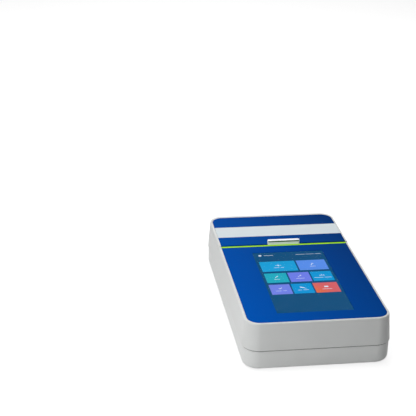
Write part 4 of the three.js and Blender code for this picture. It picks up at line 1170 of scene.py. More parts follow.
@dataclass
class Housing:
    """The two shells of the housing."""

    layout: Layout
    # How far the lower shell is drawn in at the seam and further at the bottom, and its lower edge's radius.
    base_step: float = 0.6
    base_draft: float = 0.2
    base_rounding: float = 4.4
    # Height of the seam, how far back its dark cord of painted shade lies, and the chamfers of its edges.
    seam_groove: float = 0.7
    seam_depth: float = 0.75
    edge_break: float = 0.3
    # The tongue behind the seam: its thickness, and how far it goes up and down from the lower shell's edge.
    tongue: float = 1.2
    tongue_rise: float = 2.5
    tongue_root: float = 3.0
    # Levels of the rear apron, the seats on the floor, the case's joint and the bracket's seat.
    apron_bottom: float = 8.0
    seat_top: float = 8.0
    case_joint: float = 14.0
    bracket_top: float = 40.1
    # Level of the bright strip's seat.
    strip_seat: float = 43.1
    # Radii of the bosses and posts, and how deep the bosses reach into the floor.
    case_boss: float = 4.2
    case_post: float = 3.6
    board_boss: float = 3.0
    bracket_post: float = 2.0
    boss_root: float = 1.2
    # Radii of the holes for the small screws, the case screws and their heads, and of the feet's seats.
    pilot: float = 1.4
    case_bore: float = 1.8
    head_bore: float = 3.2
    foot_seat: float = 6.8
    # Half the size of the optics' seats; half the width of the inlet's seat, its ends and its top.
    optics_seat: Corner = (6.0, 7.0)
    jack_seat: tuple[float, ...] = (3.5, 101.8, 111.8, 15.1)
    # The hinge's rail: half its length, its front and its underside.
    rail: tuple[float, ...] = (49.5, 107.8, 33.1)
    # The trough that the hinge turns in: half its length, and the gap round the knuckle.
    trough_half: float = 43.5
    trough_gap: float = 0.5
    # Bevels under the lid's rear and side skirts, and how far along Y the rear one reaches.
    rear_bevel: float = 0.9
    side_bevel: float = 0.2
    rear_reach: float = 17.0
    # Half the size of the opening over the display module, and its lower end.
    window: Corner = (37.95, 65.05)
    window_bottom: float = 35.1

    @property
    def apron_half(self) -> float:
        """Half the width of the upper shell's rear apron."""
        return self.layout.half_width - self.layout.panel_radius - self.layout.rim

    @property
    def wall_bottom(self) -> float:
        """Level of the upper shell's lower edge."""
        return self.layout.seam + self.seam_groove / 2

    @property
    def ceiling(self) -> float:
        """Level of the upper shell's ceiling under the lid."""
        return self.layout.parting - self.layout.wall

    def base_inset(self, z: float) -> float:
        """Give how far the lower shell is drawn in at a level."""
        k = self.layout
        return self.base_step + self.base_draft * (k.seam - z) / (k.seam - k.bottom)

    def base_rings(self, wall: float, bottom: float, top: float, edge: float) -> list[Ring]:
        """List the lower shell's levels, drawn in by a wall.

        Args:
            wall: How far they are drawn in.
            bottom: The lowest level.
            top: The highest level.
            edge: Size of the chamfer at the top.

        Returns:
            The rings from the lowest to the highest.
        """
        k = self.layout
        rounded = eased(bottom, top, self.base_rounding - wall, 0, k.edge_steps)[:-1]
        rings = [k.outline(wall + self.base_inset(z) + inset, z) for z, inset in rounded]
        if edge > 0:
            rings.append(k.outline(wall + self.base_inset(top - edge), top - edge))
        rings.append(k.outline(wall + self.base_inset(top) + edge, top))
        return rings

    def mouth(self, radius: float) -> list[Corner]:
        """List the profile of a round hole's mouth in the underside, with its chamfer."""
        edge = self.edge_break
        bottom = self.layout.bottom
        return [(0, -OVERRUN), (radius + edge, -OVERRUN), (radius + edge, bottom), (radius, bottom + edge)]

    def tongue_ring(self, bottom: float, top: float) -> Shape:
        """Make the tongue that stands inside both shells, from its root to its top."""
        k = self.layout
        outer = k.wall + k.clearance + k.lean_at(k.seam + self.tongue_rise)
        inner = outer + self.tongue
        ring = loft([k.outline(outer, bottom - self.tongue_root), k.outline(outer, top)], k.corner_steps)
        core = loft([k.outline(inner, bottom - OVERRUN), k.outline(inner, top + OVERRUN)], k.corner_steps)
        return combine(ring, [core], Cut.REMOVE)

    def bosses(self) -> Shape:
        """Make the bosses and seats that stand on the floor."""
        k = self.layout
        root = k.floor_top - self.boss_root
        made = [post(x, y, self.case_boss, root, self.case_joint) for x, y in four(*k.case_screw)]
        made += [post(x, y, self.board_boss, root, self.seat_top) for x, y in k.board_places()]
        wide, long = self.optics_seat
        for x, y in k.optics_places():
            made.append(block(x - wide, x + wide, y - long, y + long, root, self.seat_top))
        half, front, rear, top = self.jack_seat
        made.append(block(k.jack_x - half, k.jack_x + half, front, rear, root, top))
        return Shape.gathered(made)

    def base_holes(self) -> Shape:
        """Make the cutters of the screw holes and the feet's seats."""
        k = self.layout
        bore = self.case_bore
        head = (*self.mouth(self.head_bore), (self.head_bore, 6), (bore, 6), (bore, 19), (0, 19))
        made = [lathe(head, 40).shifted(x, y) for x, y in four(*k.case_screw)]
        seat = (*self.mouth(self.foot_seat), (self.foot_seat, 2), (0, 2))
        made += [lathe(seat, 48).shifted(x, y) for x, y in four(*k.foot)]
        made += [post(x, y, self.pilot, 4.3, 13, 16) for x, y in k.board_places()]
        made += [post(x, y, self.pilot, 4.7, 13, 16) for x, y in k.optics_places()]
        return Shape.gathered(made)

    def base_shell(self) -> Shape:
        """Make the lower shell: a tub with bosses, standoffs and a tongue behind the seam."""
        k = self.layout
        wall_top = k.seam - self.seam_groove / 2
        tongue_top = wall_top + self.tongue_rise
        tub = loft(self.base_rings(0, k.bottom, wall_top, self.edge_break), k.corner_steps)
        room = self.base_rings(k.wall, k.floor_top, wall_top, 0)
        room.append(k.outline(k.wall + self.base_step, wall_top + OVERRUN))
        tub = combine(tub, [loft(room, k.corner_steps)], Cut.REMOVE)
        half = self.apron_half + k.clearance
        front = k.rear - k.wall - self.tongue - 2 * k.clearance
        bottom = self.apron_bottom - k.clearance
        rear_opening = block(-half, half, front, k.rear + OVERRUN, bottom, tongue_top + OVERRUN)
        whole = combine(tub, [self.tongue_ring(wall_top, tongue_top)], Cut.ADD)
        whole = combine(whole, [rear_opening], Cut.REMOVE)
        whole = combine(whole, [self.bosses()], Cut.ADD)
        return combine(whole, [self.base_holes()], Cut.REMOVE)

    def parting_bevel(self, size: float, start: float, end: float) -> Shape:
        """Make the cutter that bevels the outer edge under the lid.

        Args:
            size: Size of the bevel.
            start: Where it starts along Y.
            end: Where it ends along Y.

        Returns:
            The closed cutter.
        """
        k = self.layout
        levels = ((-size, k.parting - 2 * size), (2 * size, k.parting + size))
        slope = loft([k.upper(inset, z) for inset, z in levels], k.corner_steps)
        reach = k.half_width + OVERRUN
        band = block(-reach, reach, start, end, k.parting - 1.5 * size, k.parting + size / 2)
        return combine(band, [slope], Cut.REMOVE)

    def trough(self) -> list[Shape]:
        """Make the cutters of the trough that the lid's flap and knuckle turn in."""
        k = self.layout
        radius = k.knuckle + self.trough_gap
        half = self.trough_half
        reach = k.rear + OVERRUN
        return [
            rod(radius, 2 * half, 48).headed(Heading.PLUS_X).shifted(-half, k.axis_y, k.axis_z),
            block(-half, half, k.axis_y - radius, reach, k.axis_z, k.parting + OVERRUN),
            block(-half, half, k.axis_y, reach, k.axis_z - radius, k.axis_z + 1),
        ]

    def upper_body(self) -> Shape:
        """Make the upper shell without its fittings."""
        k = self.layout
        outer = loft(k.rounded_top(self.wall_bottom, k.panel_top, self.edge_break), k.corner_steps)
        levels = (self.wall_bottom - OVERRUN, self.ceiling)
        cavity = loft([k.upper(k.wall, z) for z in levels], k.corner_steps)
        inner = k.half_width - k.rim - k.wall
        front = -k.rear + k.rim + k.wall
        rear = k.strip_front - k.wall
        front_cavity = block(-inner, inner, front, rear, self.ceiling - OVERRUN, k.deck_top - k.wall)
        reach = k.half_width + OVERRUN
        top = k.panel_top + OVERRUN
        lid_room = block(-reach, reach, k.strip_rear + 0.3, k.rear + OVERRUN, k.parting, top)
        half = k.panel_width / 2
        front = k.strip_front - k.panel_gap
        strip_seat = block(-half, half, front, k.strip_rear + OVERRUN, self.strip_seat, top)
        panel_seat = well(k.fascia(0, k.deck_top), k.panel_top, 0.15, k.corner_steps)
        return combine(outer, [cavity, front_cavity, lid_room, panel_seat, strip_seat], Cut.REMOVE)

    def upper_fittings(self) -> list[Shape]:
        """Make the apron, the hinge's rail and the posts."""
        k = self.layout
        apron = self.apron_half
        half, front, bottom = self.rail
        deck = k.deck_top - k.wall
        tops = ((x, y, deck if y < 0 else self.ceiling) for x, y in four(*k.case_screw))
        posts = (post(x, y, self.case_post, self.case_joint, top + k.wall / 2) for x, y, top in tops)
        sunk = deck + k.wall / 2
        small = (post(x, y, self.bracket_post, self.bracket_top, sunk) for x, y in k.bracket_places())
        return [
            block(-apron, apron, k.rear - k.wall, k.rear, self.apron_bottom, self.wall_bottom + k.wall),
            block(-half, half, front, k.rear - k.wall / 2, bottom, k.parting),
            Shape.gathered(posts),
            Shape.gathered(small),
        ]

    def upper_openings(self) -> list[Shape]:
        """Make the cutters of the hinge's trough, the bevels, the display's opening and the chamber's."""
        k = self.layout
        wide, long = self.window
        bend = k.rear - self.rear_reach
        gap = k.clearance
        opening = k.chamber(0, self.ceiling - OVERRUN, gap)
        return [
            *self.trough(),
            self.parting_bevel(self.rear_bevel, bend, k.rear + OVERRUN),
            self.parting_bevel(self.side_bevel, k.strip_rear + 0.31, bend - 0.01),
            block(-wide, wide, k.screen_y - long, k.screen_y + long, self.window_bottom, k.panel_top),
            loft([opening, inset_ring(opening, 0, 48)]),
            well(k.chamber(k.tray_flange, k.parting - k.flange_height, gap), k.parting, 0.15),
        ]

    def upper_holes(self) -> Shape:
        """Make the cutters of the screw holes, the catches' seats, the pins' bores and the rear openings."""
        k = self.layout
        made = [post(x, y, self.case_bore, 9, 24, 24) for x, y in four(*k.case_screw)]
        made += [post(x, y, self.pilot, self.window_bottom, 42.2, 16) for x, y in k.bracket_places()]
        for _, sign in SIDES:
            made.append(post(sign * k.catch_x, k.catch_y, 3.8, k.parting - 1, k.parting + OVERRUN))
        made += k.pin_bores(k.flap_half, 8.9)
        edge = self.edge_break
        hole = lathe(((0, -8), (3.9, -8), (3.9, -edge), (3.9 + edge, 0), (3.9 + edge, 5), (0, 5)), 48)
        made.append(hole.headed(Heading.PLUS_Y).shifted(k.jack_x, k.rear, k.jack_z))
        switch = block(-6.7, 6.7, k.rear - 8, k.rear + OVERRUN, -4.7, 4.7)
        made.append(switch.shifted(k.switch_x, 0, k.switch_z))
        return Shape.gathered(made)

    def top_shell(self) -> Shape:
        """Make the upper shell: walls, the deck under the face, the chamber's opening and the rear apron."""
        whole = combine(self.upper_body(), self.upper_fittings(), Cut.ADD)
        whole = combine(whole, self.upper_openings(), Cut.REMOVE)
        return combine(whole, [self.upper_holes()], Cut.REMOVE)

    def seam_seal(self) -> Shape:
        """Make the dark cord set back behind the two edges of the seam: painted shade that darkens the gap.
        """
        k = self.layout
        low = k.seam - self.seam_groove / 2 + 0.01
        high = k.seam + self.seam_groove / 2 - 0.01
        back = k.wall - 0.2
        outer = loft([k.outline(self.seam_depth, low), k.outline(self.seam_depth, high)], k.corner_steps)
        inner = loft([k.outline(back, low - OVERRUN), k.outline(back, high + OVERRUN)], k.corner_steps)
        half = self.apron_half + k.clearance
        behind = block(-half, half, k.rear - k.wall - 1, k.rear + OVERRUN, low - OVERRUN, high + OVERRUN)
        return combine(outer, [inner, behind], Cut.REMOVE)

    def build(self, shop: Workshop) -> None:
        """Make both shells and the dark cord of painted shade between them.

        Args:
            shop: Where the pieces are finished.
        """
        # The dark cord is painted shade set into the seam's gap.
        shop.piece("seam_seal", self.seam_seal(), Palette.RUBBER, Body.HOUSING)
        # The lower shell wears the lighter copy of the housing plastic, which is painted light.
        shop.piece("housing_base", self.base_shell(), Palette.BASE_PAINTED_LIGHT, Body.HOUSING, "base_shell")
        shop.piece("housing_top", self.top_shell(), Palette.HOUSING, Body.HOUSING, "top_shell")


@dataclass
class FrontFace:
    """The glossy front panel and the bright strip behind it."""

    layout: Layout
    # Radius of the panel's top edge.
    edge: float = 0.35
    # Height of the strip's section, and how far it stands above the panel.
    strip_depth: float = 2.8
    strip_proud: float = 0.15

    def panel(self) -> Shape:
        """Make the panel, with its window."""
        k = self.layout
        whole = k.face_plate(k.deck_top, k.panel_top, self.edge)
        half = k.half_width
        behind = block(-half, half, k.strip_front - k.panel_gap, k.rear, 35, 50)
        window = Ring(k.deck_top - OVERRUN, k.screen_width, k.screen_length, 0.4, 0, k.screen_y)
        return combine(whole, [behind, well(window, k.panel_top, 0.06, 4)], Cut.REMOVE)

    def strip(self) -> Shape:
        """Make the strip."""
        k = self.layout
        top = k.panel_top + self.strip_proud
        middle = (k.strip_front + k.strip_rear) / 2
        ring = Ring(top - self.strip_depth, k.panel_width - 2 * k.panel_gap, k.strip_width, 0.35, 0, middle)
        return slab(ring, top, 0, 0.3, 6)

    def build(self, shop: Workshop) -> None:
        """Make the panel and the strip.

        Args:
            shop: Where the pieces are finished.
        """
        shop.piece("blue_front_panel", self.panel(), Palette.BLUE, Body.HOUSING, "front_panel")
        shop.piece("bright_strip", self.strip(), Palette.STRIP, Body.HOUSING, "accent_strip")


class Sign(Enum):
    """The plain marks on the screen's tiles."""

    TARGET = "target"
    TUBE = "tube"
    PEN = "pen"
    DROPPER = "dropper"
    CHART = "chart"
    TICK = "tick"
    TAG = "tag"
    CARD = "card"


@dataclass(frozen=True)
class Tile:
    """One tile of the menu, in millimetres from the screen's middle."""

    # Its edges.
    left: float
    right: float
    low: float
    high: float
    # Its colour, the mark on it, and the widths of the bars that stand for its label.
    colour: Colour
    sign: Sign
    bars: tuple[float, ...]
    # The colour that it fades to in its lower left corner.
    second: Colour | None = None


def capsule(start: Corner, end: Corner, width: float) -> list[Corner]:
    """Outline a bar with round ends between two points."""
    heading = math.degrees(math.atan2(end[1] - start[1], end[0] - start[0]))
    radius = width / 2
    far, near = ((end, heading - 90), (start, heading + 90))
    return [point for middle, turn in (far, near) for point in arc(middle, radius, turn, turn + 180, 8)]


def panel_outline(x0: float, x1: float, y0: float, y1: float, radius: float) -> list[Corner]:
    """Outline a rectangle with rounded corners."""
    points: list[Corner] = []
    for (x, y), start in (
        ((x1 - radius, y1 - radius), 0),
        ((x0 + radius, y1 - radius), 90),
        ((x0 + radius, y0 + radius), 180),
        ((x1 - radius, y0 + radius), 270),
    ):
        points += arc((x, y), radius, start, start + 90, 5)
    return points


@dataclass
class Screen:
    """The touch glass, and the menu lit up under it."""

    layout: Layout
    # Levels of the display module's top, of the lit ground and of the glass pane's underside.
    face: float = 44.1
    lit: float = 45.2
    pane: float = 45.4
    # Thickness of each lit layer, the gap round the glass, and the glass's own wall round the ground.
    skin: float = 0.05
    play: float = 0.05
    wall: float = 0.12
    # Colours behind the tiles and of the marks.
    ground: Colour = srgb(17, 79, 124)
    white: Colour = srgb(218, 230, 243)
    tiles: tuple[Tile, ...] = (
        Tile(-31.5, 2.2, 20.4, 41.4, srgb(24, 158, 216), Sign.TARGET, (5.0, 3.2)),
        Tile(3.8, 31.5, 20.4, 41.4, srgb(88, 141, 232), Sign.TUBE, (5.6,)),
        Tile(-31.5, -10.9, -2.7, 16.4, srgb(34, 170, 192), Sign.PEN, (5.4,)),
        Tile(-9.4, 10.4, -2.7, 16.4, srgb(110, 126, 232), Sign.DROPPER, (8.0,)),
        Tile(11.8, 31.5, -2.7, 16.4, srgb(15, 150, 213), Sign.CHART, (8.6, 6.4)),
        Tile(-31.5, -12.5, -26.0, -6.7, srgb(114, 130, 230), Sign.TICK, (5.2, 3.4)),
        Tile(-11.1, 7.7, -26.0, -6.7, srgb(15, 148, 214), Sign.TAG, (3.4, 5.2)),
        Tile(9.1, 31.5, -26.0, -6.7, srgb(214, 98, 104), Sign.CARD, (9.0,), srgb(226, 112, 62)),
    )

    def sign(self, sign: Sign) -> list[list[Corner]]:
        """Outline a tile's mark about its middle.

        Args:
            sign: Which mark.

        Returns:
            The outlines of its strokes, which don't overlap.
        """
        strokes: dict[Sign, list[list[Corner]]] = {
            Sign.TARGET: [
                capsule((-2.6, 0), (-1.1, 0), 0.42),
                capsule((1.1, 0), (2.6, 0), 0.42),
                arc((0, 0), 0.7, 0, 345, 23),
                capsule((0, 1.1), (0, 1.9), 0.5),
                capsule((0, -1.9), (0, -1.1), 0.5),
            ],
            Sign.TUBE: [capsule((-0.9, -1.6), (0.5, 0.9), 0.75), capsule((0.0, 1.9), (1.7, 1.0), 0.5)],
            Sign.PEN: [capsule((-1.2, -1.4), (0.5, 0.6), 0.6), capsule((1.1, 1.2), (1.5, 1.7), 0.9)],
            Sign.DROPPER: [capsule((-1.6, -1.6), (-0.2, -0.1), 0.5), capsule((0.6, 0.6), (1.7, 1.8), 0.95)],
            Sign.CHART: [capsule((x, -1.3), (x, y), 0.55) for x, y in ((-1.8, 0.2), (0, 1.5), (1.8, 0.8))],
            Sign.TICK: [[(-1.8, 0.1), (-1.3, 0.6), (-0.5, -0.3), (1.4, 1.9), (1.9, 1.4), (-0.5, -1.3)][::-1]],
            Sign.TAG: [capsule((-1.5, 0.9), (1.2, -0.6), 1.5), capsule((2.2, -1.9), (2.9, -1.9), 0.5)],
            Sign.CARD: [panel_outline(-1.9, 1.9, -1.2, 1.2, 0.5)],
        }
        return strokes[sign]

    def marks(self) -> Shape:
        """Make every white mark: the tiles' signs and bars, and the bars of the header."""
        low = self.lit + self.skin
        high = low + self.skin
        right_bars = ((7.0, 15.6), (17.0, 24.4), (25.8, 31.2))
        header = [(-24.0, -15.4, 54.9, 0.5), *((start, end, 54.6, 0.45) for start, end in right_bars)]
        outlines = [capsule((start, y), (end, y), width) for start, end, y, width in header]
        outlines.append(arc((-28.0, 55.0), 1.5, 0, 345, 23))
        drop, gap, inner = 4.6, 1.3, 0.25
        for tile in self.tiles:
            middle = (tile.left + tile.right) / 2
            rise = (tile.low + tile.high) / 2 + 1.6
            for stroke in self.sign(tile.sign):
                outlines.append([(x + middle, y + rise) for x, y in stroke])
            start = middle - (sum(tile.bars) + gap * (len(tile.bars) - 1)) / 2
            for width in tile.bars:
                ends = ((x, rise - drop) for x in (start + inner, start + width - inner))
                outlines.append(capsule(*ends, 2 * inner))
                start += width + gap
        flat = Shape.gathered(prism(outline, low, high) for outline in outlines)
        return flat.shifted(0, self.layout.screen_y)

    def build(self, shop: Workshop) -> None:
        """Make the glass, the lit ground, the tiles and the marks.

        Args:
            shop: Where the pieces are finished.
        """
        k = self.layout
        inner = 2 * self.play
        outline = Ring(k.deck_top, k.screen_width - inner, k.screen_length - inner, 0.4, 0, k.screen_y)
        room = inset_ring(outline, self.wall, k.deck_top - OVERRUN)
        pocket = loft([room, inset_ring(room, 0, self.pane)], 4)
        glass = combine(slab(outline, k.panel_top, 0.05, 0.06, 4, 2), [pocket], Cut.REMOVE)
        shop.piece("screen_glass", glass, Palette.GLASS, Body.HOUSING, "touch_glass")
        ground = inset_ring(outline, self.wall + self.play, self.face + self.skin)
        lit = Lit("screen_ground", "screen_glass", self.ground, 0.4)
        shop.piece("screen_ground", slab(ground, self.lit, 0, 0, 4), lit, Body.HOUSING)
        for number, tile in enumerate(self.tiles, 1):
            outline = panel_outline(tile.left, tile.right, tile.low, tile.high, 0.3)
            shape = prism(outline, self.lit, self.lit + self.skin).shifted(0, k.screen_y)
            way = (((tile.left + tile.right) / 2, (tile.low + tile.high) / 2), (tile.left, tile.low))
            fade = (shop.into_frame @ Vector((x, y + k.screen_y, 0)) for x, y in way)
            start, end = (tuple(point.xy) for point in fade)
            name = f"screen_tile_{number}"
            finish = Lit(name, "screen_glass", tile.colour, 0.4, tile.second, start, end)
            shop.piece(name, shape, finish, Body.HOUSING)
        white = Lit("screen_marks", "screen_glass", self.white, 0.4)
        shop.piece("screen_marks", self.marks(), white, Body.HOUSING)


@dataclass
class Lid:
    """The lid with its panel, band, finger tab and lining."""

    layout: Layout
    # Levels of the skirt's lower edge, of the hollow and of the seat of the panel.
    bottom: float = 41.9
    underside: float = 43.3
    recess: float = 45.3
    # Thickness of the side skirts and of the rear skirt, and the radius of the hollow's rear corners.
    skirt: float = 2.0
    rear_skirt: float = 1.0
    hollow_radius: float = 10.9
    # Size of the small roundings, and of the chamfer round the panel's recess.
    edge: float = 0.3
    lip: float = 0.12
    # The pale band: its ends along Y and its thickness.
    band_front: float = 62.8
    band_rear: float = 87.0
    band_depth: float = 0.6
    # The finger tab: half its width, its size along Y and its top.
    tab_half: float = 15.8
    tab_depth: float = 3.8
    tab_top: float = 49.8
    # The groove in its front: its levels and its depth.
    groove_low: float = 48.0
    groove_high: float = 49.5
    groove_depth: float = 0.8
    # The lining under the lid: its underside, and the width of the line moulded in it.
    liner_bottom: float = 42.5
    frame_line: float = 0.8
    # The seal: its underside, its width and the radius of its lip.
    seal_bottom: float = 41.7
    seal_width: float = 3.0
    seal_edge: float = 0.35
    # How far the hinge pins go into the knuckle.
    pin_reach: float = 7.0

    def cap(self) -> Shape:
        """Make the cap, hollow below and with the recess of its panel above."""
        k = self.layout
        reach = k.half_width + OVERRUN
        low = self.bottom - OVERRUN
        outer = loft(k.rounded_top(self.bottom, k.lid_top, self.edge), k.corner_steps)
        ahead = block(-reach, reach, -k.rear - OVERRUN, k.lid_front, low, k.lid_top + OVERRUN)
        inner = k.half_width - k.lean - self.skirt
        front = k.lid_front + self.skirt
        rear = k.rear - self.rear_skirt
        room = Ring(low, 2 * inner, rear - front, self.hollow_radius, 0, (front + rear) / 2)
        hollow = loft([room, inset_ring(room, 0, self.underside)], k.corner_steps)
        square = block(-inner, inner, front, front + 15, low, self.underside)
        recess = well(k.fascia(0, self.recess), k.lid_top, self.lip, k.corner_steps)
        return combine(outer, [ahead, hollow, square, recess], Cut.REMOVE)

    def shell(self) -> Shape:
        """Make the cap with its rear flap and hinge knuckle."""
        k = self.layout
        half = k.flap_half
        flap = block(-half, half, k.axis_y - k.knuckle, k.rear, k.axis_z, self.underside + 1.0)
        outer = loft(k.rounded_top(k.axis_z - OVERRUN, k.lid_top, 0), k.corner_steps)
        flap = combine(flap, [outer], Cut.KEEP)
        knuckle = rod(k.knuckle, 2 * half, 48).headed(Heading.PLUS_X).shifted(-half, k.axis_y, k.axis_z)
        whole = combine(self.cap(), [flap, knuckle], Cut.ADD)
        bores = k.pin_bores(half - self.pin_reach, 2 * self.pin_reach)
        return combine(whole, [Shape.gathered(bores)], Cut.REMOVE)

    def panel(self) -> Shape:
        """Make the blue panel, with the band's channel and the tab's notch."""
        k = self.layout
        half = k.half_width
        low = self.recess - OVERRUN
        high = k.lid_top + OVERRUN
        ahead = block(-half, half, -k.rear - OVERRUN, k.lid_front, low, high)
        channel = block(-half, half, self.band_front, self.band_rear, k.lid_top - self.band_depth, high)
        notch_half = self.tab_half + k.panel_gap
        notch = Ring(low, 2 * notch_half, 2 * (self.tab_depth + k.panel_gap), 1.6, 0, k.lid_front)
        cutters = [ahead, channel, loft([notch, inset_ring(notch, 0, high)], 8)]
        return combine(k.face_plate(self.recess, k.lid_top, self.edge), cutters, Cut.REMOVE)

    def band(self) -> Shape:
        """Make the pale band."""
        k = self.layout
        middle = (self.band_front + self.band_rear) / 2
        length = self.band_rear - self.band_front - 0.06
        floor = k.lid_top - self.band_depth
        ring = Ring(floor, k.panel_width - 2 * k.panel_gap, length, 0.3, 0, middle)
        return slab(ring, k.lid_top, 0, 0.12, 4, 3)

    def tab(self) -> Shape:
        """Make the finger tab, with the groove in its front."""
        k = self.layout
        ring = Ring(self.recess, 2 * self.tab_half, self.tab_depth, 1.4, 0, k.lid_front + self.tab_depth / 2)
        body = slab(ring, self.tab_top, 0, 0.4, 12, 6)
        groove = Ring(self.groove_low, 2 * (self.tab_half - 0.5), 2 * self.groove_depth, 0.5, 0, k.lid_front)
        return combine(body, [loft([groove, inset_ring(groove, 0, self.groove_high)], 8)], Cut.REMOVE)

    def groove_painted_shade(self) -> Shape:
        """Make the dark olive sheet at the back of the tab's groove: painted shade in the groove, tinted with
        a painted green bounce from the strip.
        """
        half = self.tab_half - 0.55
        rear = self.layout.lid_front + self.groove_depth
        return block(-half, half, rear - 0.25, rear - 0.01, self.groove_low + 0.02, self.groove_high - 0.02)

    def lining(self) -> Shape:
        """Make the dark plate under the lid, with a moulded frame line."""
        k = self.layout
        plate = slab(k.chamber(4, self.liner_bottom), self.underside, 0.2, 0, 12, 3)
        line = k.chamber(-2, self.liner_bottom - 1)
        outer = loft([line, inset_ring(line, 0, self.liner_bottom + 0.25)], 10)
        core = inset_ring(line, self.frame_line, line.z - OVERRUN)
        inner = loft([core, inset_ring(core, 0, self.underside)], 10)
        return combine(plate, [combine(outer, [inner], Cut.REMOVE)], Cut.REMOVE)

    def seal(self) -> Shape:
        """Make the soft ring, with a rounded lip."""
        low, edge = self.seal_bottom, self.seal_edge
        bend = edge * (1 - math.cos(math.pi / 4))
        outside = [(0.0, self.liner_bottom), (0.0, low + edge), (bend, low + bend), (edge, low)]
        path = [(self.seal_width - inset, z) for inset, z in outside] + outside[::-1]
        outline = self.layout.chamber(self.seal_width, 0)
        return skin([inset_ring(outline, inset, z).points(12) for inset, z in path], closed=True)

    def build(self, shop: Workshop) -> None:
        """Make the lid's pieces.

        Args:
            shop: Where the pieces are finished.
        """
        shop.piece("lid_cap", self.shell(), Palette.HOUSING, Body.LID, "lid_shell")
        shop.piece("lid_blue_panel", self.panel(), Palette.BLUE, Body.LID, "lid_panel")
        shop.piece("lid_pale_band", self.band(), Palette.BAND, Body.LID, "lid_band")
        shop.piece("lid_finger_tab", self.tab(), Palette.TAB, Body.LID, "lid_tab")
        # The groove's sheet is painted shade tinted with the strip's green, not a real inlay.
        shop.piece("tab_groove_inlay", self.groove_painted_shade(), Palette.TAB_GROOVE_SHADE, Body.LID)
        shop.piece("lid_lining", self.lining(), Palette.BLACK, Body.LID, "lid_liner")
        shop.piece("lid_light_seal", self.seal(), Palette.RUBBER, Body.LID, "lid_seal")
        k = self.layout
        for side, sign in SIDES:
            magnet = rod(3, 1.5, 40, 0.15).shifted(sign * k.catch_x, k.catch_y, self.underside - 1.5)
            shop.piece(f"magnet_{side}", magnet, Palette.STEEL, Body.LID, f"lid_magnet_{side}")


@dataclass
class Chamber:
    """The dark tray under the lid and the bush that takes a sample tube."""

    layout: Layout
    # The tray: its wall, its levels, the radius inside its floor and how far its mouth flares.
    wall: float = 1.5
    underside: float = 31.1
    floor_top: float = 32.6
    soft: float = 1.2
    mouth: float = 0.25
    # The bush: radii of its bore, its neck and its rim, the neck's depth and the rim's height.
    bore: float = 3.95
    neck: float = 6.5
    rim: float = 9.0
    depth: float = 7.0
    height: float = 1.5
    # Radius of the rim's edge, and size of the chamfer of its mouth.
    rounding: float = 0.75
    chamfer: float = 0.8
    # Radii of the ring printed round it.
    mark_inner: float = 10.6
    mark_outer: float = 11.2

    def tray(self) -> Shape:
        """Make the tray, with rounded inner corners and a hole for the bush."""
        k = self.layout
        body = k.chamber(0, self.underside)
        flange = slab(k.chamber(k.tray_flange, k.parting - k.flange_height), k.parting, 0, 0.15, 12, 3)
        outer = combine(slab(body, k.parting, 0.6, 0, 12, 4), [flange], Cut.ADD)
        inner = inset_ring(body, self.wall, self.floor_top)
        pairs = eased(self.floor_top, k.parting, self.soft, 0, 5)
        pairs += [(k.parting + self.mouth, -self.mouth), (k.parting + OVERRUN, -self.mouth)]
        room = loft([inset_ring(inner, inset, z) for z, inset in pairs], 12)
        hole = post(0, k.chamber_y, self.neck + k.clearance, self.underside - OVERRUN, k.parting)
        return combine(outer, [room, hole], Cut.REMOVE)

    def holder(self) -> Shape:
        """Make the bush, with a chamfered mouth."""
        edge = self.rounding
        turns = (0.5, 1.0)
        profile = (
            (self.bore, -self.depth),
            (self.neck, -self.depth),
            (self.neck, 0),
            (self.rim, 0),
            (self.rim, edge),
            *[(self.rim - edge * (1 - math.cos(a)), edge * (1 + math.sin(a))) for a in turns],
            (self.rim - edge, self.height),
            (self.bore + self.chamfer, self.height),
            (self.bore, self.height - self.chamfer),
            (self.bore, -self.depth),
        )
        return lathe(profile, 64).shifted(0, self.layout.chamber_y, self.floor_top)

    def build(self, shop: Workshop) -> None:
        """Make the tray, the bush, the mark round it and the catch plates.

        Args:
            shop: Where the pieces are finished.
        """
        k = self.layout
        shop.piece("chamber_well", self.tray(), Palette.BLACK, Body.HOUSING, "chamber_tray")
        shop.piece("tube_bush", self.holder(), Palette.GLOSS_BLACK, Body.HOUSING, "tube_holder")
        mark = tube(self.mark_inner, self.mark_outer, 0.01, 0.15, 64).shifted(0, k.chamber_y, self.floor_top)
        shop.piece("tube_place_mark", mark, Palette.MARK, Body.HOUSING)
        for side, sign in SIDES:
            plate = rod(3.5, 1.0, 40, 0.12).shifted(sign * k.catch_x, k.catch_y, k.parting - 1)
            shop.piece(f"catch_{side}", plate, Palette.STEEL, Body.HOUSING, f"catch_plate_{side}")


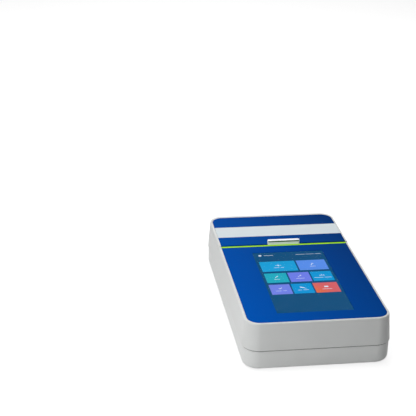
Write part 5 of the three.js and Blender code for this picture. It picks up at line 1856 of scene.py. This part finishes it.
@dataclass
class RearEnd:
    """The power switch and the power inlet."""

    layout: Layout
    # The rocker: its axis, its radius and the angle of its corners.
    pivot_y: float = 114.5
    rocker_radius: float = 5.6
    rocker_corner: float = 40.0
    # Height of the low line across its middle, the tilt at rest and half its thickness.
    rocker_middle: float = 2.4
    rocker_tilt: float = 9.0
    rocker_half: float = 3.4
    # How deep the two halves of its face are hollowed, and its small chamfers.
    rocker_sag: float = 0.16
    rocker_edge: float = 0.25
    # Thickness of the printed marks.
    mark_height: float = 0.1
    # How far the inlet's mouth lies behind the rear face.
    inlet_recess: float = 0.3

    def switch_frame(self) -> Shape:
        """Make the switch's housing, with a rounded frame."""
        k = self.layout
        frame = slab(Ring(0, 15, 10.5, 0.6), 1.2, 0, 0.4, 6, 4)
        frame = frame.headed(Heading.MINUS_Y).turned(180, "Y").turned(180, "X").shifted(0, k.rear, 0)
        body = block(-6.4, 6.4, k.rear - 12, k.rear + 0.2, -4.4, 4.4)
        pocket = block(-5.9, 5.9, k.rear - 5.8, k.rear + OVERRUN, -3.7, 3.7)
        frame, body, pocket = (item.shifted(k.switch_x, 0, k.switch_z) for item in (frame, body, pocket))
        return combine(combine(frame, [body], Cut.ADD), [pocket], Cut.REMOVE)

    def corner(self) -> Corner:
        """Give the place of the rocker's right corner from its axis."""
        turn = math.radians(self.rocker_corner)
        return self.rocker_radius * math.cos(turn), self.rocker_radius * math.sin(turn)

    def at_rest(self, shape: Shape) -> Shape:
        """Put something made about the rocker's axis where the rocker rests."""
        k = self.layout
        return shape.turned(self.rocker_tilt, "Z").shifted(k.switch_x, self.pivot_y, k.switch_z)

    def rocker(self) -> Shape:
        """Make the rocker, with a hollowed face on both sides of its middle."""
        radius = self.rocker_radius
        across, up = self.corner()
        points = arc((0, 0), radius, 180 - self.rocker_corner, 360 + self.rocker_corner, 40)
        tips = ((across, up), (0.0, self.rocker_middle), (-across, up))
        steps = 6
        for start, end in zip(tips, tips[1:]):
            for step in range(1, steps + 1):
                share = step / steps
                x = start[0] + (end[0] - start[0]) * share
                y = start[1] + (end[1] - start[1]) * share
                points.append((x, y - self.rocker_sag * math.sin(math.pi * share)))
        points.pop()
        half, edge = self.rocker_half, self.rocker_edge
        levels = []
        for z, shrink in ((-half, edge), (-half + edge, 0.0), (half - edge, 0.0), (half, edge)):
            levels.append([Vector((x * (1 - shrink / radius), y - shrink * (y > 0), z)) for x, y in points])
        return self.at_rest(skin(levels))

    def rocker_marks(self) -> Shape:
        """Make the usual on and off marks on the rocker's face."""
        across, up = self.corner()
        slope = math.degrees(math.atan2(up - self.rocker_middle, across))
        height = (self.rocker_middle + up) / 2 - 0.2
        bar = prism(panel_outline(-0.16, 0.16, -1.1, 1.1, 0.12), 0, self.mark_height)
        ring = tube(0.75, 1.05, 0, self.mark_height, 32)
        made = []
        for mark, side in ((bar, -1), (ring, 1)):
            upright = mark.headed(Heading.PLUS_Y).turned(side * slope, "Z")
            made.append(upright.shifted(side * across / 2, height, 0))
        return self.at_rest(Shape.gathered(made))

    def jack(self) -> Shape:
        """Make the inlet's body, with a chamfered mouth."""
        k = self.layout
        body_rear = k.rear - k.wall - k.clearance
        mouth = k.rear - self.inlet_recess
        body = block(-4.5, 4.5, body_rear - 12, body_rear, -5.5, 5.5)
        neck = rod(3.6, 4.8, 48, 0.15).headed(Heading.PLUS_Y).shifted(0, mouth - 4.8, 0)
        bore = lathe(((0, -10.5), (3.1, -10.5), (3.1, -0.25), (3.35, 0), (3.35, 4), (0, 4)), 48)
        bore = bore.headed(Heading.PLUS_Y).shifted(0, mouth, 0)
        whole = combine(combine(body, [neck], Cut.ADD), [bore], Cut.REMOVE)
        return whole.shifted(k.jack_x, 0, k.jack_z)

    def build(self, shop: Workshop) -> None:
        """Make the switch and the inlet.

        Args:
            shop: Where the pieces are finished.
        """
        k = self.layout
        shop.piece("switch_frame", self.switch_frame(), Palette.BLACK, Body.HOUSING, "switch_housing")
        shop.piece("rocker_button", self.rocker(), Palette.GLOSS_BLACK, Body.ROCKER, "switch_rocker")
        shop.piece("rocker_marks", self.rocker_marks(), Palette.MARK, Body.ROCKER)
        shop.piece("power_inlet", self.jack(), Palette.GLOSS_BLACK, Body.HOUSING, "dc_jack")
        tip = lathe(((0, 0), (1, 0), (1, 8.4), (0.85, 8.75), (0.5, 9), (0, 9)), 32)
        pin = tip.headed(Heading.PLUS_Y).shifted(k.jack_x, k.rear - 10.8, k.jack_z)
        shop.piece("inlet_pin", pin, Palette.STEEL, Body.HOUSING, "dc_pin")


@dataclass
class Feet:
    """The four rubber feet."""

    layout: Layout
    radius: float = 6.5
    height: float = 2.0
    edge: float = 0.8

    def build(self, shop: Workshop) -> None:
        """Make the feet, each with a ring pressed in its tread.

        Args:
            shop: Where the pieces are finished.
        """
        edge = self.edge
        flat = self.radius - edge
        tread = ((0, 0.25), (2.6, 0.25), (2.9, 0), (4.3, 0), (4.5, 0.2), (4.7, 0), (flat, 0))
        rounding = [(flat + edge * math.sin(a), edge * (1 - math.cos(a))) for a in (0.4, 0.8, 1.2)]
        wall = ((self.radius, edge), (self.radius, self.height), (0, self.height))
        foot = lathe((*tread, *rounding, *wall), 48)
        for number, (x, y) in enumerate(four(*self.layout.foot), 1):
            name = f"foot_{number}"
            shop.piece(f"rubber_{name}", foot.shifted(x, y), Palette.RUBBER, Body.HOUSING, name)


@dataclass
class ScrewSet:
    """One kind of screw, set at several places by geometry nodes."""

    name: str
    # The CAD screws that it stands for, where they are, and the level of their heads' seats.
    nodes: Sequence[str]
    places: Sequence[Corner]
    seat: float
    # Length of the shank under the head, and whether the heads look down.
    length: float
    down: bool = False
    # Sizes of the head and the shank, and half the length of the cross recess.
    head_radius: float = 2.2
    head_height: float = 1.4
    shank_radius: float = 1.1
    recess: float = 1.3

    def profile(self) -> list[Corner]:
        """List the outline of the shank and the head, from the tip to the middle of the head."""
        s = self.shank_radius
        r = self.head_radius
        h = self.head_height
        tip = -self.length
        made = [(0.0, tip), (s * 0.55, tip), (s * 0.9, tip + s * 0.6)]
        pitch = max(0.9, s * 0.7)
        for turn in range(int((self.length - s) / pitch)):
            z = tip + s * 0.8 + turn * pitch
            made += [(s * 0.84, z), (s, z + pitch * 0.4), (s * 0.84, z + pitch * 0.8)]
        made += [(s * 0.9, -0.02), (s * 0.9, 0.0), (r - 0.12, 0.0), (r, 0.12)]
        return made + [(r, h * 0.5), (r * 0.93, h * 0.8), (r * 0.75, h * 0.96), (r * 0.5, h), (0.0, h)]

    def pattern(self) -> Shape:
        """Make one screw along +Z: the head's seat at the origin, with grooves along its shank."""
        arm = self.recess
        narrow = arm * 0.24
        low = self.head_height * 0.45
        high = self.head_height + 1
        cross = [
            block(-arm, arm, -narrow, narrow, low, high),
            block(-narrow, narrow, -arm, arm, low, high),
        ]
        return combine(lathe(self.profile(), 32), cross, Cut.REMOVE)

    def spread(self, shop: Workshop, source: bpy.types.Object) -> bpy.types.NodeTree:
        """Make the node group that sets the pattern at every point of a mesh.

        Args:
            shop: Where the material comes from.
            source: The screw to repeat.

        Returns:
            The geometry node group.
        """
        tree = bpy.data.node_groups.new(f"{self.name}_spread", "GeometryNodeTree")
        for label, kind in (("Seats", "Geometry"), ("Turn", "Float"), ("Seed", "Int")):
            tree.interface.new_socket(label, in_out="INPUT", socket_type=f"NodeSocket{kind}")
        tree.interface.new_socket("Screws", in_out="OUTPUT", socket_type="NodeSocketGeometry")
        nodes = Sockets(tree)
        takes = nodes.node("NodeGroupInput").outputs
        pattern = nodes.node("GeometryNodeObjectInfo")
        pattern.inputs["Object"].default_value = source
        turn = nodes.node("FunctionNodeRandomValue", data_type="FLOAT")
        least, most = (s for s in turn.inputs if s.enabled and s.type == "VALUE")
        nodes.feed(least, 0.0)
        nodes.feed(most, takes["Turn"])
        nodes.feed(turn.inputs["Seed"], takes["Seed"])
        angles = nodes.node("ShaderNodeCombineXYZ")
        nodes.feed(angles.inputs["Z"], next(s for s in turn.outputs if s.enabled and s.type == "VALUE"))
        setting = nodes.node("GeometryNodeInstanceOnPoints")
        nodes.feed(setting.inputs["Points"], takes["Seats"])
        nodes.feed(setting.inputs["Instance"], pattern.outputs["Geometry"])
        nodes.feed(setting.inputs["Rotation"], angles.outputs[0])
        real = nodes.node("GeometryNodeRealizeInstances")
        nodes.feed(real.inputs[0], setting.outputs[0])
        paint = nodes.node("GeometryNodeSetMaterial")
        nodes.feed(paint.inputs["Geometry"], real.outputs[0])
        paint.inputs["Material"].default_value = shop.material(Palette.STEEL)
        nodes.feed(nodes.node("NodeGroupOutput").inputs[0], paint.outputs[0])
        return tree

    def build(self, shop: Workshop) -> None:
        """Make the screws as one piece.

        Args:
            shop: Where the piece is finished.
        """
        scene = bpy.context.scene
        single = self.pattern()
        if self.down:
            single = single.headed(Heading.DOWN)
        one = single.placed(Matrix.Scale(MM, 4)).mesh(f"{self.name}_pattern")
        source = bpy.data.objects.new(f"{self.name}_pattern", one)
        scene.collection.objects.link(source)
        seats = bpy.data.meshes.new(f"{self.name}_seats")
        seats.from_pydata([shop.into_frame @ Vector((x, y, self.seat)) for x, y in self.places], [], [])
        carrier = bpy.data.objects.new(f"{self.name}_seats", seats)
        scene.collection.objects.link(carrier)
        tree = self.spread(shop, source)
        modifier = carrier.modifiers.new("spread", "NODES")
        modifier.node_group = tree
        values = {"Turn": 1.5, "Seed": 7}
        for item in tree.interface.items_tree:
            if item.name in values:
                modifier[item.identifier] = values[item.name]
        graph = bpy.context.evaluated_depsgraph_get()
        mesh = bpy.data.meshes.new_from_object(carrier.evaluated_get(graph))
        mesh.name = self.name
        carrier.modifiers.remove(modifier)
        for item in (carrier, source):
            bpy.data.objects.remove(item)
        for item in (seats, one):
            bpy.data.meshes.remove(item)
        shop.finish_mesh(self.name, mesh, Palette.STEEL, Body.HOUSING, self.nodes)


def screw_sets(layout: Layout) -> list[ScrewSet]:
    """List every kind of screw.

    Args:
        layout: The shared levels and outlines.

    Returns:
        The kinds of screw with their places.
    """
    kinds = ("case", "board", "bracket")
    case, board, bracket = ([f"{kind}_screw_{n}" for n in range(1, 5)] for kind in kinds)
    optics = [f"optics_screw_{side}" for side, _ in SIDES]
    return [
        ScrewSet("case_screws", case, four(*layout.case_screw), 6.0, 16.0, True, 2.8, 2.0, 1.5, 1.7),
        ScrewSet("board_screws", board, layout.board_places(), 9.6, 5.0),
        ScrewSet("bracket_screws", bracket, layout.bracket_places(), 38.9, 3.0, True),
        ScrewSet("optics_screws", optics, layout.optics_places(), 11.0, 6.0),
    ]


KEPT = {
    "display_module": Palette.BLACK,
    "display_bracket": Palette.STEEL,
    "optics_block": Palette.ANODISED,
    "blue_led": Palette.BLUE_OPTIC,
    "red_led": Palette.RED_OPTIC,
    "blue_filter": Palette.BLUE_OPTIC,
    "red_filter": Palette.RED_OPTIC,
    "led_board_left": Palette.BOARD,
    "led_board_right": Palette.BOARD,
    "collecting_lens": Palette.CLEAR_OPTIC,
    "emission_filter": Palette.CLEAR_OPTIC,
    "photodiode": Palette.GLOSS_BLACK,
    "detector_board": Palette.BOARD,
    "main_board": Palette.BOARD,
    "processor_can": Palette.STEEL,
    "display_ribbon": Palette.MARK,
    "power_leads": Palette.LEAD,
    "switch_leads": Palette.LEAD,
    "hinge_pin_left": Palette.STEEL,
    "hinge_pin_right": Palette.STEEL,
}


class Studio:
    """The pale floor, the white background, the lamps and the camera."""

    def __init__(self) -> None:
        """Find the instrument's size."""
        low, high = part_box("top_shell")
        self.middle = (low + high) / 2

    def floor(self) -> None:
        """Make a wide pale floor that keeps a faint shadow."""
        reach = 4.0
        mesh = bpy.data.meshes.new("bench_floor")
        corners = ((-reach, -reach, 0), (reach, -reach, 0), (reach, reach, 0), (-reach, reach, 0))
        mesh.from_pydata(corners, [], [(0, 1, 2, 3)])
        made = bpy.data.objects.new("bench_floor", mesh)
        bpy.context.scene.collection.objects.link(made)
        material = bpy.data.materials.new("bench_paper")
        material.use_nodes = True
        nodes = Sockets(material.node_tree)
        shader = material.node_tree.nodes["Principled BSDF"]
        nodes.feed_all(
            shader,
            {
                "Base Color": (0.45, 0.45, 0.45, 1.0),
                "Roughness": 1.0,
                "Specular IOR Level": 0.0,
                "Emission Color": WHITE,
                "Emission Strength": nodes.remap(self.seen_directly(nodes), 0.04, 0.78),
            },
        )
        mesh.materials.append(material)
        made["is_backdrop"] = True

    @staticmethod
    def seen_directly(nodes: Sockets) -> Socket:
        """Tell whether a ray comes from the camera, off a shiny face or through a glass."""
        path = nodes.node("ShaderNodeLightPath")
        mirrored = nodes.math("MAXIMUM", path.outputs["Is Glossy Ray"], path.outputs["Is Transmission Ray"])
        return nodes.math("MAXIMUM", path.outputs["Is Camera Ray"], mirrored)

    def world(self) -> None:
        """Make the background white, and softer for the light that it casts."""
        world = bpy.data.worlds.new("white_room")
        world.use_nodes = True
        bpy.context.scene.world = world
        nodes = Sockets(world.node_tree)
        background = world.node_tree.nodes["Background"]
        strength = nodes.remap(self.seen_directly(nodes), 0.01, 1.0)
        nodes.feed_all(background, {"Color": WHITE, "Strength": strength})

    def lamp(self, name: str, place: Vector, size: float, power: float) -> bpy.types.Object:
        """Hang a softbox that looks at the instrument.

        Args:
            name: Its name.
            place: Where it hangs, from the instrument's middle.
            size: Its side.
            power: Its power in watts.

        Returns:
            The lamp.
        """
        data = bpy.data.lights.new(name, "AREA")
        data.shape = "SQUARE"
        data.size = size
        data.energy = power
        made = bpy.data.objects.new(name, data)
        made.location = self.middle + place
        made.rotation_euler = (-place).to_track_quat("-Z", "Y").to_euler()
        made.visible_glossy = False
        bpy.context.scene.collection.objects.link(made)
        return made

    def camera(self) -> None:
        """Set the camera where the photo was taken from."""
        data = bpy.data.cameras.new("photo_view")
        data.lens = 99.12
        data.sensor_width = 36.0
        made = bpy.data.objects.new("photo_view", data)
        right = Vector((0.98982, -0.14085, 0.02022))
        up = Vector((0.03637, 0.38785, 0.921))
        back = right.cross(up)
        turn = Matrix((right, up, back)).transposed().to_4x4()
        made.matrix_world = Matrix.Translation((-0.22605, -0.95386, 0.51245)) @ turn
        bpy.context.scene.collection.objects.link(made)
        bpy.context.scene.camera = made

    def build(self) -> None:
        """Set the whole stage up."""
        self.floor()
        self.world()
        softboxes = (
            ("overhead_softbox", (0.0, 0.1, 1.3), 1.4, 10.2),
            ("rear_softbox", (0.0, 1.1, 0.95), 0.5, 5.5),
            ("left_softbox", (-0.45, 0.1, 0.6), 0.5, 1.6),
            ("far_left_fill", (-0.75, -1.0, 0.2), 0.5, 0.8),
            ("near_left_fill", (-0.3, -0.4, 0.08), 0.2, 0.62),
        )
        lamps = [self.lamp(name, Vector(place), size, power) for name, place, size, power in softboxes]
        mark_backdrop(*lamps)
        self.camera()
        bpy.context.scene.view_settings.view_transform = "Standard"


def plain(bounds: object) -> object:
    """Turn measured boxes into plain lists of numbers."""
    if isinstance(bounds, dict):
        return {str(key): plain(value) for key, value in bounds.items()}
    if isinstance(bounds, (Vector, tuple, list)):
        return [plain(value) for value in bounds]
    return float(bounds) if isinstance(bounds, (int, float)) else bounds


def main() -> None:
    """Build the finished instrument and its stage."""
    logging.basicConfig(level=logging.INFO, format="%(message)s", stream=sys.stdout)
    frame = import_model()
    sizes = {"frame": plain(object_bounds())}
    shop = Workshop(SharedEffects())
    layout = Layout()
    assemblies = (kind(layout) for kind in (Housing, FrontFace, Screen, Lid, Chamber, RearEnd, Feet))
    for assembly in (*assemblies, *screw_sets(layout)):
        assembly.build(shop)
    for name, finish in KEPT.items():
        shop.dress(frame["nodes"][name], finish)
    Studio().build()
    sizes["finished"] = plain(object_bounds())
    LOG.info("%d pieces made, %d kept from the frame", shop.count, len(KEPT))


if __name__ == "__main__":
    main()
